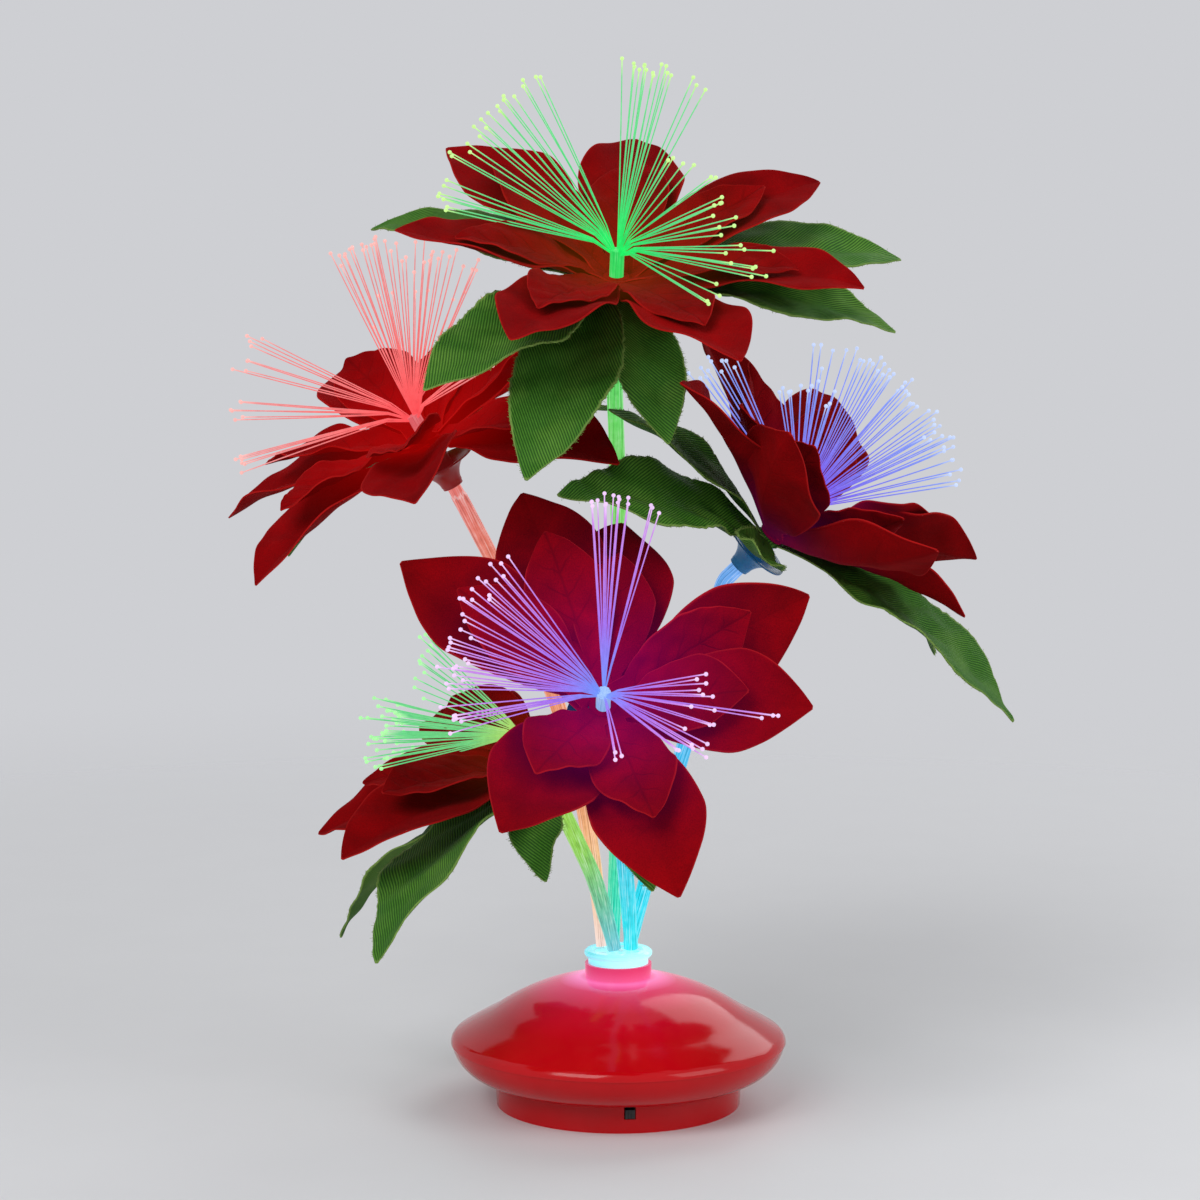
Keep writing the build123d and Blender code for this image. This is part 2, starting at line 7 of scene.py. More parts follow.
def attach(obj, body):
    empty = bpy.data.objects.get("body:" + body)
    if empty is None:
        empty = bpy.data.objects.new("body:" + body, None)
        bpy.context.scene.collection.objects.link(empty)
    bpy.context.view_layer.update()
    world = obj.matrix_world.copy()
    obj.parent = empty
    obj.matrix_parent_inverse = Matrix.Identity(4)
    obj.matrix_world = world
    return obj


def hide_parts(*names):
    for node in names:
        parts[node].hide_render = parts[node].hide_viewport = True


# Battery base with five fabric flowers on lit fibre bundles. Metres, +Z up, the switch on the -Y side.
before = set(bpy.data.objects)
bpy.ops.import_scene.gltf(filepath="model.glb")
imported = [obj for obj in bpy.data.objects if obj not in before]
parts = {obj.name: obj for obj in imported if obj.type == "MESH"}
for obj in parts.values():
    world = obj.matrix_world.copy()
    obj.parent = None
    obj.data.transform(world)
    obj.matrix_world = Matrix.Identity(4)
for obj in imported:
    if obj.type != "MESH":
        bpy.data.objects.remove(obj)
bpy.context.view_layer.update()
scene = bpy.context.scene
mm = 0.001
white = (1.0, 1.0, 1.0, 1.0)
black = (0.0, 0.0, 0.0, 1.0)
noiseMiddle = (0.3, 0.7)  # where most of a noise lies
print("frame: loaded", len(parts), "nodes")


def tint(red, green, blue):
    # screen colour, 0 to 255, as linear light
    channels = [c / 255 for c in (red, green, blue)]
    linear = [c / 12.92 if c <= 0.04045 else ((c + 0.055) / 1.055) ** 2.4 for c in channels]
    return (*linear, 1.0)


def shaded(colour, share, extra=0.0):
    return tuple(share * c + extra for c in colour[:3]) + (1.0,)


# Node helpers, for materials and for geometry trees
def add(tree, kind, inputs=None, **settings):
    made = tree.nodes.new(kind)
    for key, value in settings.items():
        setattr(made, key, value)
    for key, value in (inputs or {}).items():
        if isinstance(value, bpy.types.NodeSocket):
            tree.links.new(value, made.inputs[key])
        else:
            made.inputs[key].default_value = value
    return made


def maths(tree, operation, first, second=0.0):
    return add(tree, "ShaderNodeMath", {0: first, 1: second}, operation=operation).outputs[0]


def vectorMaths(tree, operation, inputs, output=0):
    return add(tree, "ShaderNodeVectorMath", inputs, operation=operation).outputs[output]


def mapped(tree, value, low, high, toLow=0.0, toHigh=1.0, kind="LINEAR"):
    sockets = {"Value": value, "From Min": low, "From Max": high, "To Min": toLow, "To Max": toHigh}
    return add(tree, "ShaderNodeMapRange", sockets, interpolation_type=kind).outputs["Result"]


def noise(tree, vector, scale, detail=2.0, distortion=0.0):
    sockets = {"Vector": vector, "Scale": scale, "Detail": detail, "Distortion": distortion}
    return add(tree, "ShaderNodeTexNoise", sockets).outputs["Fac"]


def spread(tree, value, low, high):
    # a noise, stretched to run from low to high
    return mapped(tree, value, *noiseMiddle, low, high)


def ramp(tree, factor, marks):
    made = add(tree, "ShaderNodeValToRGB", {"Fac": factor})
    elements = made.color_ramp.elements
    while len(elements) < len(marks):
        elements.new(0.5)
    for element, (position, colour) in zip(elements, marks):
        element.position = position
        element.color = colour
    return made.outputs["Color"]


def stops(pairs):
    return [(position, tint(*colour)) for position, colour in pairs]


def mixed(tree, factor, first, second, blend="MIX"):
    made = add(tree, "ShaderNodeMix", {0: factor, 6: first, 7: second}, data_type="RGBA", blend_type=blend)
    return made.outputs[2]


def bumped(tree, height, strength, distance):
    sockets = {"Height": height, "Strength": strength, "Distance": distance}
    return add(tree, "ShaderNodeBump", sockets).outputs["Normal"]


def attribute(tree, name, output="Fac"):
    return add(tree, "ShaderNodeAttribute", attribute_name=name).outputs[output]


def objectPlace(tree):
    return add(tree, "ShaderNodeTexCoord").outputs["Object"]


def flatPlace(tree):
    return add(tree, "ShaderNodeUVMap", uv_map="flatMap").outputs[0]


def distanceFrom(tree, vector, centre):
    return vectorMaths(tree, "DISTANCE", {0: vector, 1: centre}, "Value")


def newMaterial(name, sockets):
    made = bpy.data.materials.new(name)
    made.use_nodes = True
    shader = made.node_tree.nodes["Principled BSDF"]
    for socket, value in sockets.items():
        shader.inputs[socket].default_value = value
    return made, made.node_tree, shader


def feed(tree, shader, sockets):
    for name, socket in sockets.items():
        tree.links.new(socket, shader.inputs[name])


def finishWith(piece, made):
    piece.data.materials.clear()
    piece.data.materials.append(made)


def shineOf(tree, vector, scale, shine):
    return spread(tree, noise(tree, vector, scale, detail=3.0), *shine)


def linkedObject(name, data):
    made = bpy.data.objects.new(name, data)
    scene.collection.objects.link(made)
    return made


# Stage: pale floor, soft lamps, camera at the photo's angle
stageLook = dict(floor=tint(214, 215, 218), backdrop=tint(206, 207, 211), daylight=0.42, floorSize=6.0,
                 grainScale=30.0, grainShade=0.97, fadeFrom=0.25, fadeTo=0.95, footHole=37.5 * mm)
lamps = {
    "key": dict(place=(-0.75, -1.0, 1.15), size=0.9, power=15.0),
    "fill": dict(place=(1.05, -0.75, 0.7), size=0.9, power=6.5),
    "rim": dict(place=(0.75, 0.85, 0.95), size=0.9, power=4.5),
}
photoCamera = dict(place=(-0.0928, -0.9957, 0.270), target=(-0.0057, 0.0005, 0.1584), lens=97.65,
                   clipStart=0.05)


def aimAt(thing, place, target):
    thing.location = place
    thing.rotation_euler = (Vector(target) - Vector(place)).to_track_quat("-Z", "Y").to_euler()


def paleFloor():
    made, tree, shader = newMaterial("paleFloor", {"Roughness": 0.5, "Specular IOR Level": 0.25})
    place = objectPlace(tree)
    pale = stageLook["floor"]
    shade = shaded(pale, stageLook["grainShade"])
    feed(tree, shader, {"Base Color": mixed(tree, noise(tree, place, stageLook["grainScale"]), shade, pale)})
    # clear from below, under the foot, and far out, where it fades into the backdrop
    under = add(tree, "ShaderNodeNewGeometry").outputs["Backfacing"]
    distance = distanceFrom(tree, place, (0, 0, 0))
    away = mapped(tree, distance, stageLook["fadeFrom"], stageLook["fadeTo"], kind="SMOOTHSTEP")
    hole = maths(tree, "LESS_THAN", distance, stageLook["footHole"])
    clear = add(tree, "ShaderNodeBsdfTransparent").outputs[0]
    gone = maths(tree, "MAXIMUM", maths(tree, "MAXIMUM", under, hole), away)
    both = add(tree, "ShaderNodeMixShader", {0: gone, 1: shader.outputs[0], 2: clear})
    tree.links.new(both.outputs[0], tree.nodes["Material Output"].inputs["Surface"])
    return made


def makeFloor():
    half = stageLook["floorSize"] / 2
    mesh = bpy.data.meshes.new("floor")
    corners = [(-half, -half, 0), (half, -half, 0), (half, half, 0), (-half, half, 0)]
    mesh.from_pydata(corners, [], [(0, 1, 2, 3)])
    floor = linkedObject("floor", mesh)
    finishWith(floor, paleFloor())


def makeWorld():
    world = bpy.data.worlds.new("studio")
    scene.world = world
    world.use_nodes = True
    tree = world.node_tree
    light = tree.nodes["Background"]
    light.inputs["Color"].default_value = white
    light.inputs["Strength"].default_value = stageLook["daylight"]
    shown = add(tree, "ShaderNodeBackground", {"Color": stageLook["backdrop"], "Strength": 1.0})
    ray = add(tree, "ShaderNodeLightPath").outputs
    seen = maths(tree, "MAXIMUM", ray["Is Camera Ray"], ray["Is Transmission Ray"])
    seen = maths(tree, "MAXIMUM", seen, ray["Is Glossy Ray"])
    both = add(tree, "ShaderNodeMixShader", {0: seen, 1: light.outputs[0], 2: shown.outputs[0]})
    tree.links.new(both.outputs[0], tree.nodes["World Output"].inputs["Surface"])


def makeLamps():
    for name, lamp in lamps.items():
        data = bpy.data.lights.new(name, "AREA")
        data.size = lamp["size"]
        data.energy = lamp["power"]
        aimAt(linkedObject(name, data), lamp["place"], photoCamera["target"])


def makeCamera():
    data = bpy.data.cameras.new("photoCamera")
    data.lens = photoCamera["lens"]
    data.clip_start = photoCamera["clipStart"]
    scene.camera = linkedObject("photoCamera", data)
    aimAt(scene.camera, photoCamera["place"], photoCamera["target"])


scene.view_settings.view_transform = "Standard"
makeFloor()
makeWorld()
makeLamps()
makeCamera()
print("stage: floor, lamps and camera")


# Base: glossy red shells, lit pink round the neck by what shines up through it
baseLook = dict(red=tint(190, 8, 18), deep=tint(180, 5, 13), speck=tint(230, 90, 90), speckShare=0.18,
                cloudScale=60.0, speckScale=1500.0, speckRange=(0.74, 0.8), shineScale=300.0,
                shine=(0.09, 0.14), grainScale=2600.0, grainStrength=0.04, grainDepth=0.04 * mm,
                glowCentre=47 * mm, glowNear=9 * mm, glowFar=60 * mm, glowLevel=0.8)
neckGlow = [(0.0, (0, 0, 0)), (0.3, (52, 0, 10)), (0.55, (112, 6, 40)), (0.78, (180, 40, 100)),
            (0.9, (236, 128, 200)), (0.96, (200, 66, 126)), (1.0, (184, 52, 108))]


def glossyRed(name, lit):
    made, tree, shader = newMaterial(name, {"IOR": 1.33})
    place = objectPlace(tree)
    cloud = noise(tree, place, baseLook["cloudScale"], detail=3.0)
    speck = mapped(tree, noise(tree, place, baseLook["speckScale"]), *baseLook["speckRange"])
    deepAt, redAt = noiseMiddle
    colour = ramp(tree, cloud, [(deepAt, baseLook["deep"]), (redAt, baseLook["red"])])
    colour = mixed(tree, maths(tree, "MULTIPLY", speck, baseLook["speckShare"]), colour, baseLook["speck"])
    grain = noise(tree, place, baseLook["grainScale"], detail=1.0)
    feed(tree, shader, {
        "Base Color": colour,
        "Roughness": shineOf(tree, place, baseLook["shineScale"], baseLook["shine"]),
        "Normal": bumped(tree, grain, baseLook["grainStrength"], baseLook["grainDepth"]),
    })
    if lit:
        reach = distanceFrom(tree, place, (0, 0, baseLook["glowCentre"]))
        near = mapped(tree, reach, baseLook["glowFar"], baseLook["glowNear"])
        feed(tree, shader, {"Emission Color": ramp(tree, near, stops(neckGlow))})
        shader.inputs["Emission Strength"].default_value = baseLook["glowLevel"]
    return made


# Collar: clear sleeve, brightest low in the middle where the bundles start
collarLook = dict(core=tint(205, 252, 255), rim=tint(72, 214, 232), bodyColour=tint(150, 228, 236),
                  glowLevel=0.72, heart=(2 * mm, -3 * mm, 45 * mm), rimReach=14 * mm, coreReach=5 * mm,
                  rimStop=0.05, coreStop=0.85,
                  streakScale=260.0, streakGlow=0.12, streakStrength=0.1, streakDepth=0.5 * mm)


def litCollar():
    sockets = {"Roughness": 0.22, "Coat Weight": 0.4, "Coat Roughness": 0.08, "Subsurface Weight": 0.3,
               "Subsurface Scale": 2 * mm, "Emission Strength": collarLook["glowLevel"]}
    made, tree, shader = newMaterial("litCollar", sockets)
    place = objectPlace(tree)
    reach = distanceFrom(tree, place, collarLook["heart"])
    streak = noise(tree, place, collarLook["streakScale"], detail=3.0)
    uneven = spread(tree, streak, -collarLook["streakGlow"], collarLook["streakGlow"])
    near = maths(tree, "ADD", mapped(tree, reach, collarLook["rimReach"], collarLook["coreReach"]), uneven)
    glow = [(collarLook["rimStop"], collarLook["rim"]), (collarLook["coreStop"], collarLook["core"])]
    feed(tree, shader, {
        "Base Color": mixed(tree, streak, collarLook["bodyColour"], collarLook["rim"]),
        "Emission Color": ramp(tree, near, glow),
        "Normal": bumped(tree, streak, collarLook["streakStrength"], collarLook["streakDepth"]),
    })
    return made


# Plain finishes of the small and inner pieces: two colours, roughness range, metal
smallFinishes = {
    "switch_knob": dict(light=tint(34, 33, 34), dark=tint(16, 16, 17), shine=(0.32, 0.5), metal=0.0),
    "switch_body": dict(light=tint(52, 52, 55), dark=tint(36, 36, 38), shine=(0.4, 0.6), metal=0.0),
    "battery_cells": dict(light=tint(70, 74, 84), dark=tint(48, 52, 60), shine=(0.25, 0.4), metal=0.3),
    "battery_contacts": dict(light=tint(205, 205, 200), dark=tint(170, 170, 165), shine=(0.22, 0.4),
                             metal=1.0),
    "case_screws": dict(light=tint(188, 188, 186), dark=tint(140, 140, 140), shine=(0.25, 0.45), metal=1.0),
    "board_screws": dict(light=tint(190, 190, 188), dark=tint(150, 150, 150), shine=(0.25, 0.45), metal=1.0),
    "led_board": dict(light=tint(30, 104, 62), dark=tint(20, 82, 48), shine=(0.3, 0.5), metal=0.0),
    "wires": dict(light=tint(186, 30, 28), dark=tint(150, 20, 20), shine=(0.35, 0.5), metal=0.0),
    "stem_holder": dict(light=tint(196, 236, 240), dark=tint(150, 214, 224), shine=(0.3, 0.45), metal=0.0),
    "leds": dict(light=tint(226, 248, 250), dark=tint(190, 232, 240), shine=(0.1, 0.2), metal=0.0),
    "fibre_roots": dict(light=tint(214, 250, 252), dark=tint(140, 226, 240), shine=(0.2, 0.4), metal=0.0),
}
selfLit = {"leds": 0.9, "fibre_roots": 0.8, "stem_holder": 0.45}  # glow of the pieces that carry light
smallGrain = dict(cloudScale=420.0, cloudRange=(0.35, 0.65), shineScale=900.0, scale=2400.0, strength=0.15,
                  depth=0.1 * mm)


def smallFinish(name):
    look = smallFinishes[name]
    made, tree, shader = newMaterial(name, {"Metallic": look["metal"]})
    place = objectPlace(tree)
    cloud = mapped(tree, noise(tree, place, smallGrain["cloudScale"], detail=3.0), *smallGrain["cloudRange"])
    colour = mixed(tree, cloud, look["dark"], look["light"])
    grain = noise(tree, place, smallGrain["scale"])
    feed(tree, shader, {
        "Base Color": colour,
        "Roughness": shineOf(tree, place, smallGrain["shineScale"], look["shine"]),
        "Normal": bumped(tree, grain, smallGrain["strength"], smallGrain["depth"]),
    })
    if name in selfLit:
        feed(tree, shader, {"Emission Color": colour})
        shader.inputs["Emission Strength"].default_value = selfLit[name]
    return made


def dressBase():
    finishWith(parts["upper_shell"], glossyRed("redUpperShell", True))
    lower = glossyRed("redLowerShell", False)
    for name in ("lower_shell", "battery_door"):
        finishWith(parts[name], lower)
    finishWith(parts["collar"], litCollar())
    for name in smallFinishes:
        finishWith(parts[name], smallFinish(name))


dressBase()
print("base: shells, collar, switch and inner pieces finished")


# Flowers: hub centre, lean of the axis, stem route and blades as in the solids, lengths in millimetres
# petals: turn, rise, share of the full length; leaves: turn, rise, length
# clumps of fibre: screen angle from and to, angle towards the viewer from and to, count
# fold: petal crease, edge over half width
# rolled, turned: petals turned about their midrib and round the hub, in degrees, by the petal's own turn
# bent, curled: petals and leaves that bend up towards their tips, in degrees, by the blade's own turn
# nested: how far the inner petals stand off the outer ones, as a share of the usual lift
flowers = {
    "right": dict(
        socket=2, hub=(48.8, 7.0, 177.9), heading=-25, tilt=46,
        route=[(12.0, 4.0, 82.0), (32.0, 11.0, 144.0)],
        petals=[(-150, 22, 1.0), (-106, 18, 1.0), (-64, 22, 0.94), (-20, 26, 0.84), (26, 20, 1.0),
                (88, 22, 1.0), (142, 20, 0.94)],
        leaves=[(-147, -15, 80), (-170, 0, 66), (-104, -10, 46), (-6, 6, 96), (28, -2, 88)],
        clumps=[(114, 131, 18, 30, 12), (74, 104, 44, 60, 12), (78, 86, 28, 34, 3), (41, 69, 24, 36, 18),
                (8, 38, 28, 38, 18), (20, 80, -30, -10, 6)],
        stemColours=[(0.0, (6, 236, 250)), (0.3, (40, 200, 246)), (0.75, (96, 172, 250)),
                     (1.0, (150, 190, 255))],
        fibreColours=[(0.0, (128, 70, 250)), (0.35, (126, 112, 240)), (0.9, (132, 156, 248)),
                      (1.0, (196, 214, 255))],
        cupColour=(14, 96, 150), petalGlow=(130, 8, 110), glowReach=15, fold=0.36,
        rolled={-20: -26, 26: -62, -150: 18}, turned={-106: -16},
        bent={-106: 42, -64: 46, 26: 10}, curled={-104: 52},
    ),
    "top": dict(
        socket=3, hub=(-0.8, 0.0, 255.9), heading=-90, tilt=22, route=[(2.5, 7.0, 130.0)],
        petals=[(-20, 9, 1.0), (28, 17, 1.0), (80, 16, 1.0), (132, 20, 1.0), (-171, 17, 0.92),
                (-118, 9, 1.0), (-68, 4, 1.0)],
        leaves=[(150, 2, 84), (-136, -10, 82), (-115, -26, 80), (-76, -32, 56), (-10, -6, 84), (14, 0, 92)],
        clumps=[(113, 152, -6, 10, 18), (158, 170, -2, 8, 7), (72, 88, -6, 12, 13), (61, 66, 0, 8, 3),
                (25, 60, 54, 64, 6), (-2, 20, 52, 62, 9), (-20, -5, 38, 54, 9), (-42, -30, 48, 56, 4)],
        stemColours=[(0.0, (20, 226, 200)), (0.25, (72, 220, 130)), (0.6, (128, 222, 104)),
                     (1.0, (40, 226, 100))],
        fibreColours=[(0.0, (24, 238, 96)), (0.4, (64, 214, 122)), (0.9, (110, 222, 140)),
                      (1.0, (206, 255, 150))],
        cupColour=(34, 120, 70), petalGlow=(120, 62, 0), glowReach=24, fold=0.24,
        curled={-136: 16, -115: 7}, nested=0.35,
    ),
    "left": dict(
        socket=4, hub=(-56.8, 32.0, 204.7), heading=-165, tilt=30,
        route=[(-9.0, 13.0, 104.0), (-33.0, 26.0, 160.0)],
        petals=[(-50, -16, 1.0), (10, 0, 1.0), (57, 8, 1.0), (102, 18, 1.0), (154, 4, 1.0),
                (-148, -2, 1.0), (-98, 2, 1.0)],
        leaves=[(28, -22, 70), (75, -6, 80), (135, -14, 84)],
        clumps=[(152, 168, -6, 8, 8), (174, 184, -4, 4, 6), (193, 199, 0, 8, 6), (100, 118, -8, 20, 15),
                (72, 98, 18, 40, 16), (62, 68, 28, 38, 4), (22, 34, 56, 64, 6), (60, 120, -55, -35, 8)],
        stemColours=[(0.0, (255, 226, 216)), (0.12, (255, 202, 146)), (0.28, (252, 164, 116)),
                     (1.0, (224, 96, 104))],
        fibreColours=[(0.0, (255, 78, 84)), (0.4, (246, 112, 112)), (0.9, (236, 142, 142)),
                      (1.0, (255, 186, 180))],
        cupColour=(140, 6, 10), petalGlow=(230, 10, 8), glowReach=30, fold=0.34,
    ),
    "low": dict(
        socket=0, hub=(-24.5, -4.0, 107.0), heading=180, tilt=26, route=[(-6.0, -4.5, 68.0)],
        petals=[(-146, 8, 1.0), (160, 6, 1.0), (108, 14, 1.0)],
        leaves=[(-140, -12, 88), (158, -16, 88), (-108, -30, 46), (120, -12, 70)],
        clumps=[(136, 150, -44, -34, 7), (166, 192, 32, 46, 22), (150, 200, -50, -28, 14),
                (168, 194, -46, -36, 10)],
        stemColours=[(0.0, (104, 204, 220)), (0.2, (104, 198, 160)), (0.45, (142, 214, 76)),
                     (1.0, (186, 228, 84))],
        fibreColours=[(0.0, (190, 222, 96)), (0.4, (110, 206, 126)), (0.9, (96, 212, 132)),
                      (1.0, (176, 255, 170))],
        cupColour=(40, 110, 70), petalGlow=(110, 40, 0), glowReach=20, fold=0.3,
        rolled={-146: -24, 160: -14},
    ),
    "front": dict(
        socket=1, hub=(-8.5, -42.0, 130.9), heading=-94, tilt=58, route=[(1.5, -7.5, 84.0)],
        petals=[(140, 9, 0.96), (104, 1, 0.98), (79, -3, 0.82), (22, 12, 0.90), (-12, 19, 0.82),
                (-78, 19, 0.96), (-124, 27, 0.82)],
        leaves=[(116, -24, 58), (22, -14, 60), (-80, 0, 56)],
        clumps=[(82, 95, -8, 6, 13), (73, 76, -2, 2, 3), (125, 152, 28, 40, 15), (155, 178, 34, 46, 15),
                (184, 193, 36, 44, 7), (-15, 16, 56, 66, 10), (-9, -6, 28, 36, 3), (-38, -20, 48, 68, 8),
                (-84, -68, 68, 76, 3)],
        stemColours=[(0.0, (20, 238, 250)), (0.35, (60, 206, 236)), (0.7, (92, 176, 236)),
                     (1.0, (150, 190, 250))],
        fibreColours=[(0.0, (104, 150, 250)), (0.35, (160, 112, 236)), (0.9, (206, 138, 236)),
                      (1.0, (244, 208, 255))],
        cupColour=(40, 90, 150), petalGlow=(150, 0, 120), glowReach=27, fold=0.24,
        rolled={22: 42},
    ),
}


def leaning(heading, tilt):
    turn = Matrix.Rotation(math.radians(heading), 4, "Z")
    return turn @ Matrix.Rotation(math.radians(tilt), 4, "Y") @ turn.inverted()


def hubPlace(flower):
    return Matrix.Translation(Vector(flower["hub"]) * mm) @ leaning(flower["heading"], flower["tilt"])


def alongAxis(flower, height):
    return hubPlace(flower) @ Vector((0, 0, height))


# Geometry trees: made with named inputs, set on a holder, and kept as plain meshes
def newTree(name, sockets):
    tree = bpy.data.node_groups.new(name, "GeometryNodeTree")
    tree.interface.new_socket("Geometry", in_out="INPUT", socket_type="NodeSocketGeometry")
    for label, kind in sockets:
        tree.interface.new_socket(label, in_out="INPUT", socket_type="NodeSocket" + kind)
    tree.interface.new_socket("Geometry", in_out="OUTPUT", socket_type="NodeSocketGeometry")
    return tree, add(tree, "NodeGroupInput").outputs


def endTree(tree, geometry, finish):
    real = add(tree, "GeometryNodeRealizeInstances", {"Geometry": geometry}).outputs[0]
    painted = add(tree, "GeometryNodeSetMaterial", {"Geometry": real, "Material": finish}).outputs[0]
    add(tree, "NodeGroupOutput", {0: painted})


def stored(tree, geometry, name, value, kind="FLOAT"):
    sockets = {"Geometry": geometry, "Name": name, "Value": value}
    return add(tree, "GeometryNodeStoreNamedAttribute", sockets, data_type=kind, domain="POINT").outputs[0]


def named(tree, name, kind="FLOAT"):
    return add(tree, "GeometryNodeInputNamedAttribute", {"Name": name}, data_type=kind).outputs[0]


def swept(tree, line, ring):
    sockets = {"Curve": line, "Profile Curve": ring, "Fill Caps": True}
    return add(tree, "GeometryNodeCurveToMesh", sockets).outputs[0]


def circle(tree, sides, radius):
    sockets = {"Resolution": sides, "Radius": radius}
    return add(tree, "GeometryNodeCurvePrimitiveCircle", sockets).outputs[0]


def setTree(holder, tree, values):
    # the modifier's inputs go in by socket identifier
    nodesOn = holder.modifiers.new("shape", "NODES")
    nodesOn.node_group = tree
    for item in tree.interface.items_tree:
        if item.in_out == "INPUT" and item.name in values:
            nodesOn[item.identifier] = values[item.name]


def plainMesh(holder, name):
    # the evaluated result as an ordinary mesh object
    graph = bpy.context.evaluated_depsgraph_get()
    evaluated = holder.evaluated_get(graph)
    mesh = bpy.data.meshes.new_from_object(evaluated, preserve_all_data_layers=True, depsgraph=graph)
    source = holder.data
    bpy.data.objects.remove(holder)
    bpy.data.meshes.remove(source)
    mesh.name = name
    return linkedObject(name, mesh)


# Stems: a fluted bundle of fibres in wrinkled film, along a smooth line through the route
# socketCircle and pivotHeight in millimetres, as the route is; the sockets in degrees, twist in radians
stemLook = dict(radius=2.15 * mm, socketCircle=4.7, firstSocket=-110, socketStep=72, pivotHeight=49.4,
                lead=-24 * mm, cupFoot=-15.4 * mm, tail=11 * mm, lineSteps=24, rings=260, sides=44,
                flutes=11, fluteDepth=0.03, twist=2.0, wrinkle=0.12 * mm, wrinkleScale=260.0,
                filmEnd=0.84, filmTear=0.05, tearScale=2.2, tearEdge=0.005, filmSwell=0.15,
                slimTo=(0.05, 0.16))


def stemLine(name, flower):
    angle = math.radians(stemLook["firstSocket"] + stemLook["socketStep"] * flower["socket"])
    foot = (stemLook["socketCircle"] * math.cos(angle), stemLook["socketCircle"] * math.sin(angle))
    points = [Vector((*foot, stemLook["pivotHeight"])) * mm]
    points += [Vector(p) * mm for p in flower["route"]]
    points += [alongAxis(flower, stemLook[key]) for key in ("lead", "cupFoot", "tail")]
    curve = bpy.data.curves.new(name + "Line", "CURVE")
    curve.dimensions = "3D"
    curve.resolution_u = stemLook["lineSteps"]
    spline = curve.splines.new("NURBS")
    spline.points.add(len(points) - 1)
    for knot, point in zip(spline.points, points):
        knot.co = (*point, 1.0)
    spline.order_u = 3
    spline.use_endpoint_u = True
    holder = linkedObject(name + "Line", curve)
    graph = bpy.context.evaluated_depsgraph_get()
    mesh = bpy.data.meshes.new_from_object(holder.evaluated_get(graph))
    bpy.data.objects.remove(holder)
    bpy.data.curves.remove(curve)
    return linkedObject(name + "Line", mesh)


def centredNoise(tree, vector, seed, scale, height):
    # runs to half the height on either side of zero
    sockets = {"Vector": vector, "W": seed, "Scale": scale, "Detail": 3.0}
    seeded = add(tree, "ShaderNodeTexNoise", sockets, noise_dimensions="4D").outputs[0]
    return maths(tree, "MULTIPLY", maths(tree, "SUBTRACT", seeded, 0.5), height)


def flutedRing(tree, given, place):
    ring = circle(tree, given["Sides"], given["Radius"])
    around = maths(tree, "MULTIPLY", add(tree, "GeometryNodeSplineParameter").outputs["Factor"], 2 * math.pi)
    wave = maths(tree, "COSINE", maths(tree, "MULTIPLY", around, given["Flutes"]))
    swell = maths(tree, "ADD", maths(tree, "MULTIPLY", wave, given["Flute Depth"]), 1.0)
    fluted = vectorMaths(tree, "SCALE", {0: place, "Scale": swell})
    ring = add(tree, "GeometryNodeSetPosition", {"Geometry": ring, "Position": fluted}).outputs[0]
    return stored(tree, ring, "ring", vectorMaths(tree, "NORMALIZE", {0: place}), "FLOAT_VECTOR")


def stemTree():
    tree, given = newTree("stemBundle", [
        ("Radius", "Float"), ("Rings", "Int"), ("Sides", "Int"), ("Flutes", "Float"),
        ("Flute Depth", "Float"), ("Twist", "Float"), ("Wrinkle", "Float"), ("Film End", "Float"),
        ("Film Tear", "Float"), ("Film Swell", "Float"), ("Seed", "Float"), ("Finish", "Material")])
    line = add(tree, "GeometryNodeMeshToCurve", {"Mesh": given["Geometry"]}).outputs[0]
    line = add(tree, "GeometryNodeResampleCurve", {"Curve": line, "Count": given["Rings"]}).outputs[0]
    factor = add(tree, "GeometryNodeSplineParameter").outputs["Factor"]
    line = stored(tree, line, "along", factor)
    lean = maths(tree, "MULTIPLY", factor, given["Twist"])
    line = add(tree, "GeometryNodeSetCurveTilt", {"Curve": line, "Tilt": lean}).outputs[0]
    place = add(tree, "GeometryNodeInputPosition").outputs[0]
    tube = swept(tree, line, flutedRing(tree, given, place))
    push = centredNoise(tree, place, given["Seed"], stemLook["wrinkleScale"], given["Wrinkle"])
    # the film stops short of the cup in a torn edge, and lies closer to the bundle near the collar
    here = named(tree, "along")
    side = named(tree, "ring", "FLOAT_VECTOR")
    torn = centredNoise(tree, side, given["Seed"], stemLook["tearScale"], given["Film Tear"])
    edge = maths(tree, "ADD", given["Film End"], torn)
    film = mapped(tree, maths(tree, "SUBTRACT", edge, here), 0.0, stemLook["tearEdge"])
    tube = stored(tree, tube, "film", film)
    swell = maths(tree, "MULTIPLY", maths(tree, "MULTIPLY", film, given["Film Swell"]), given["Radius"])
    swell = maths(tree, "MULTIPLY", swell, mapped(tree, here, *stemLook["slimTo"]))
    push = maths(tree, "ADD", push, swell)
    normal = add(tree, "GeometryNodeInputNormal").outputs["Normal"]
    offset = vectorMaths(tree, "SCALE", {0: normal, "Scale": push})
    tube = add(tree, "GeometryNodeSetPosition", {"Geometry": tube, "Offset": offset}).outputs[0]
    tube = add(tree, "GeometryNodeSetShadeSmooth", {"Geometry": tube}).outputs[0]
    endTree(tree, tube, given["Finish"])
    return tree


filmLook = dict(glowLevel=0.86, shade=tint(208, 208, 208), body=tint(120, 120, 120), brighten=0.3,
                bareDepth=0.5, streakStretch=1.6, streakScale=7.0, creaseScale=420.0, creaseShare=0.05,
                darkRange=(0.36, 0.48), brightRange=(0.52, 0.68), bumpStrength=0.25, bumpDepth=0.2 * mm)


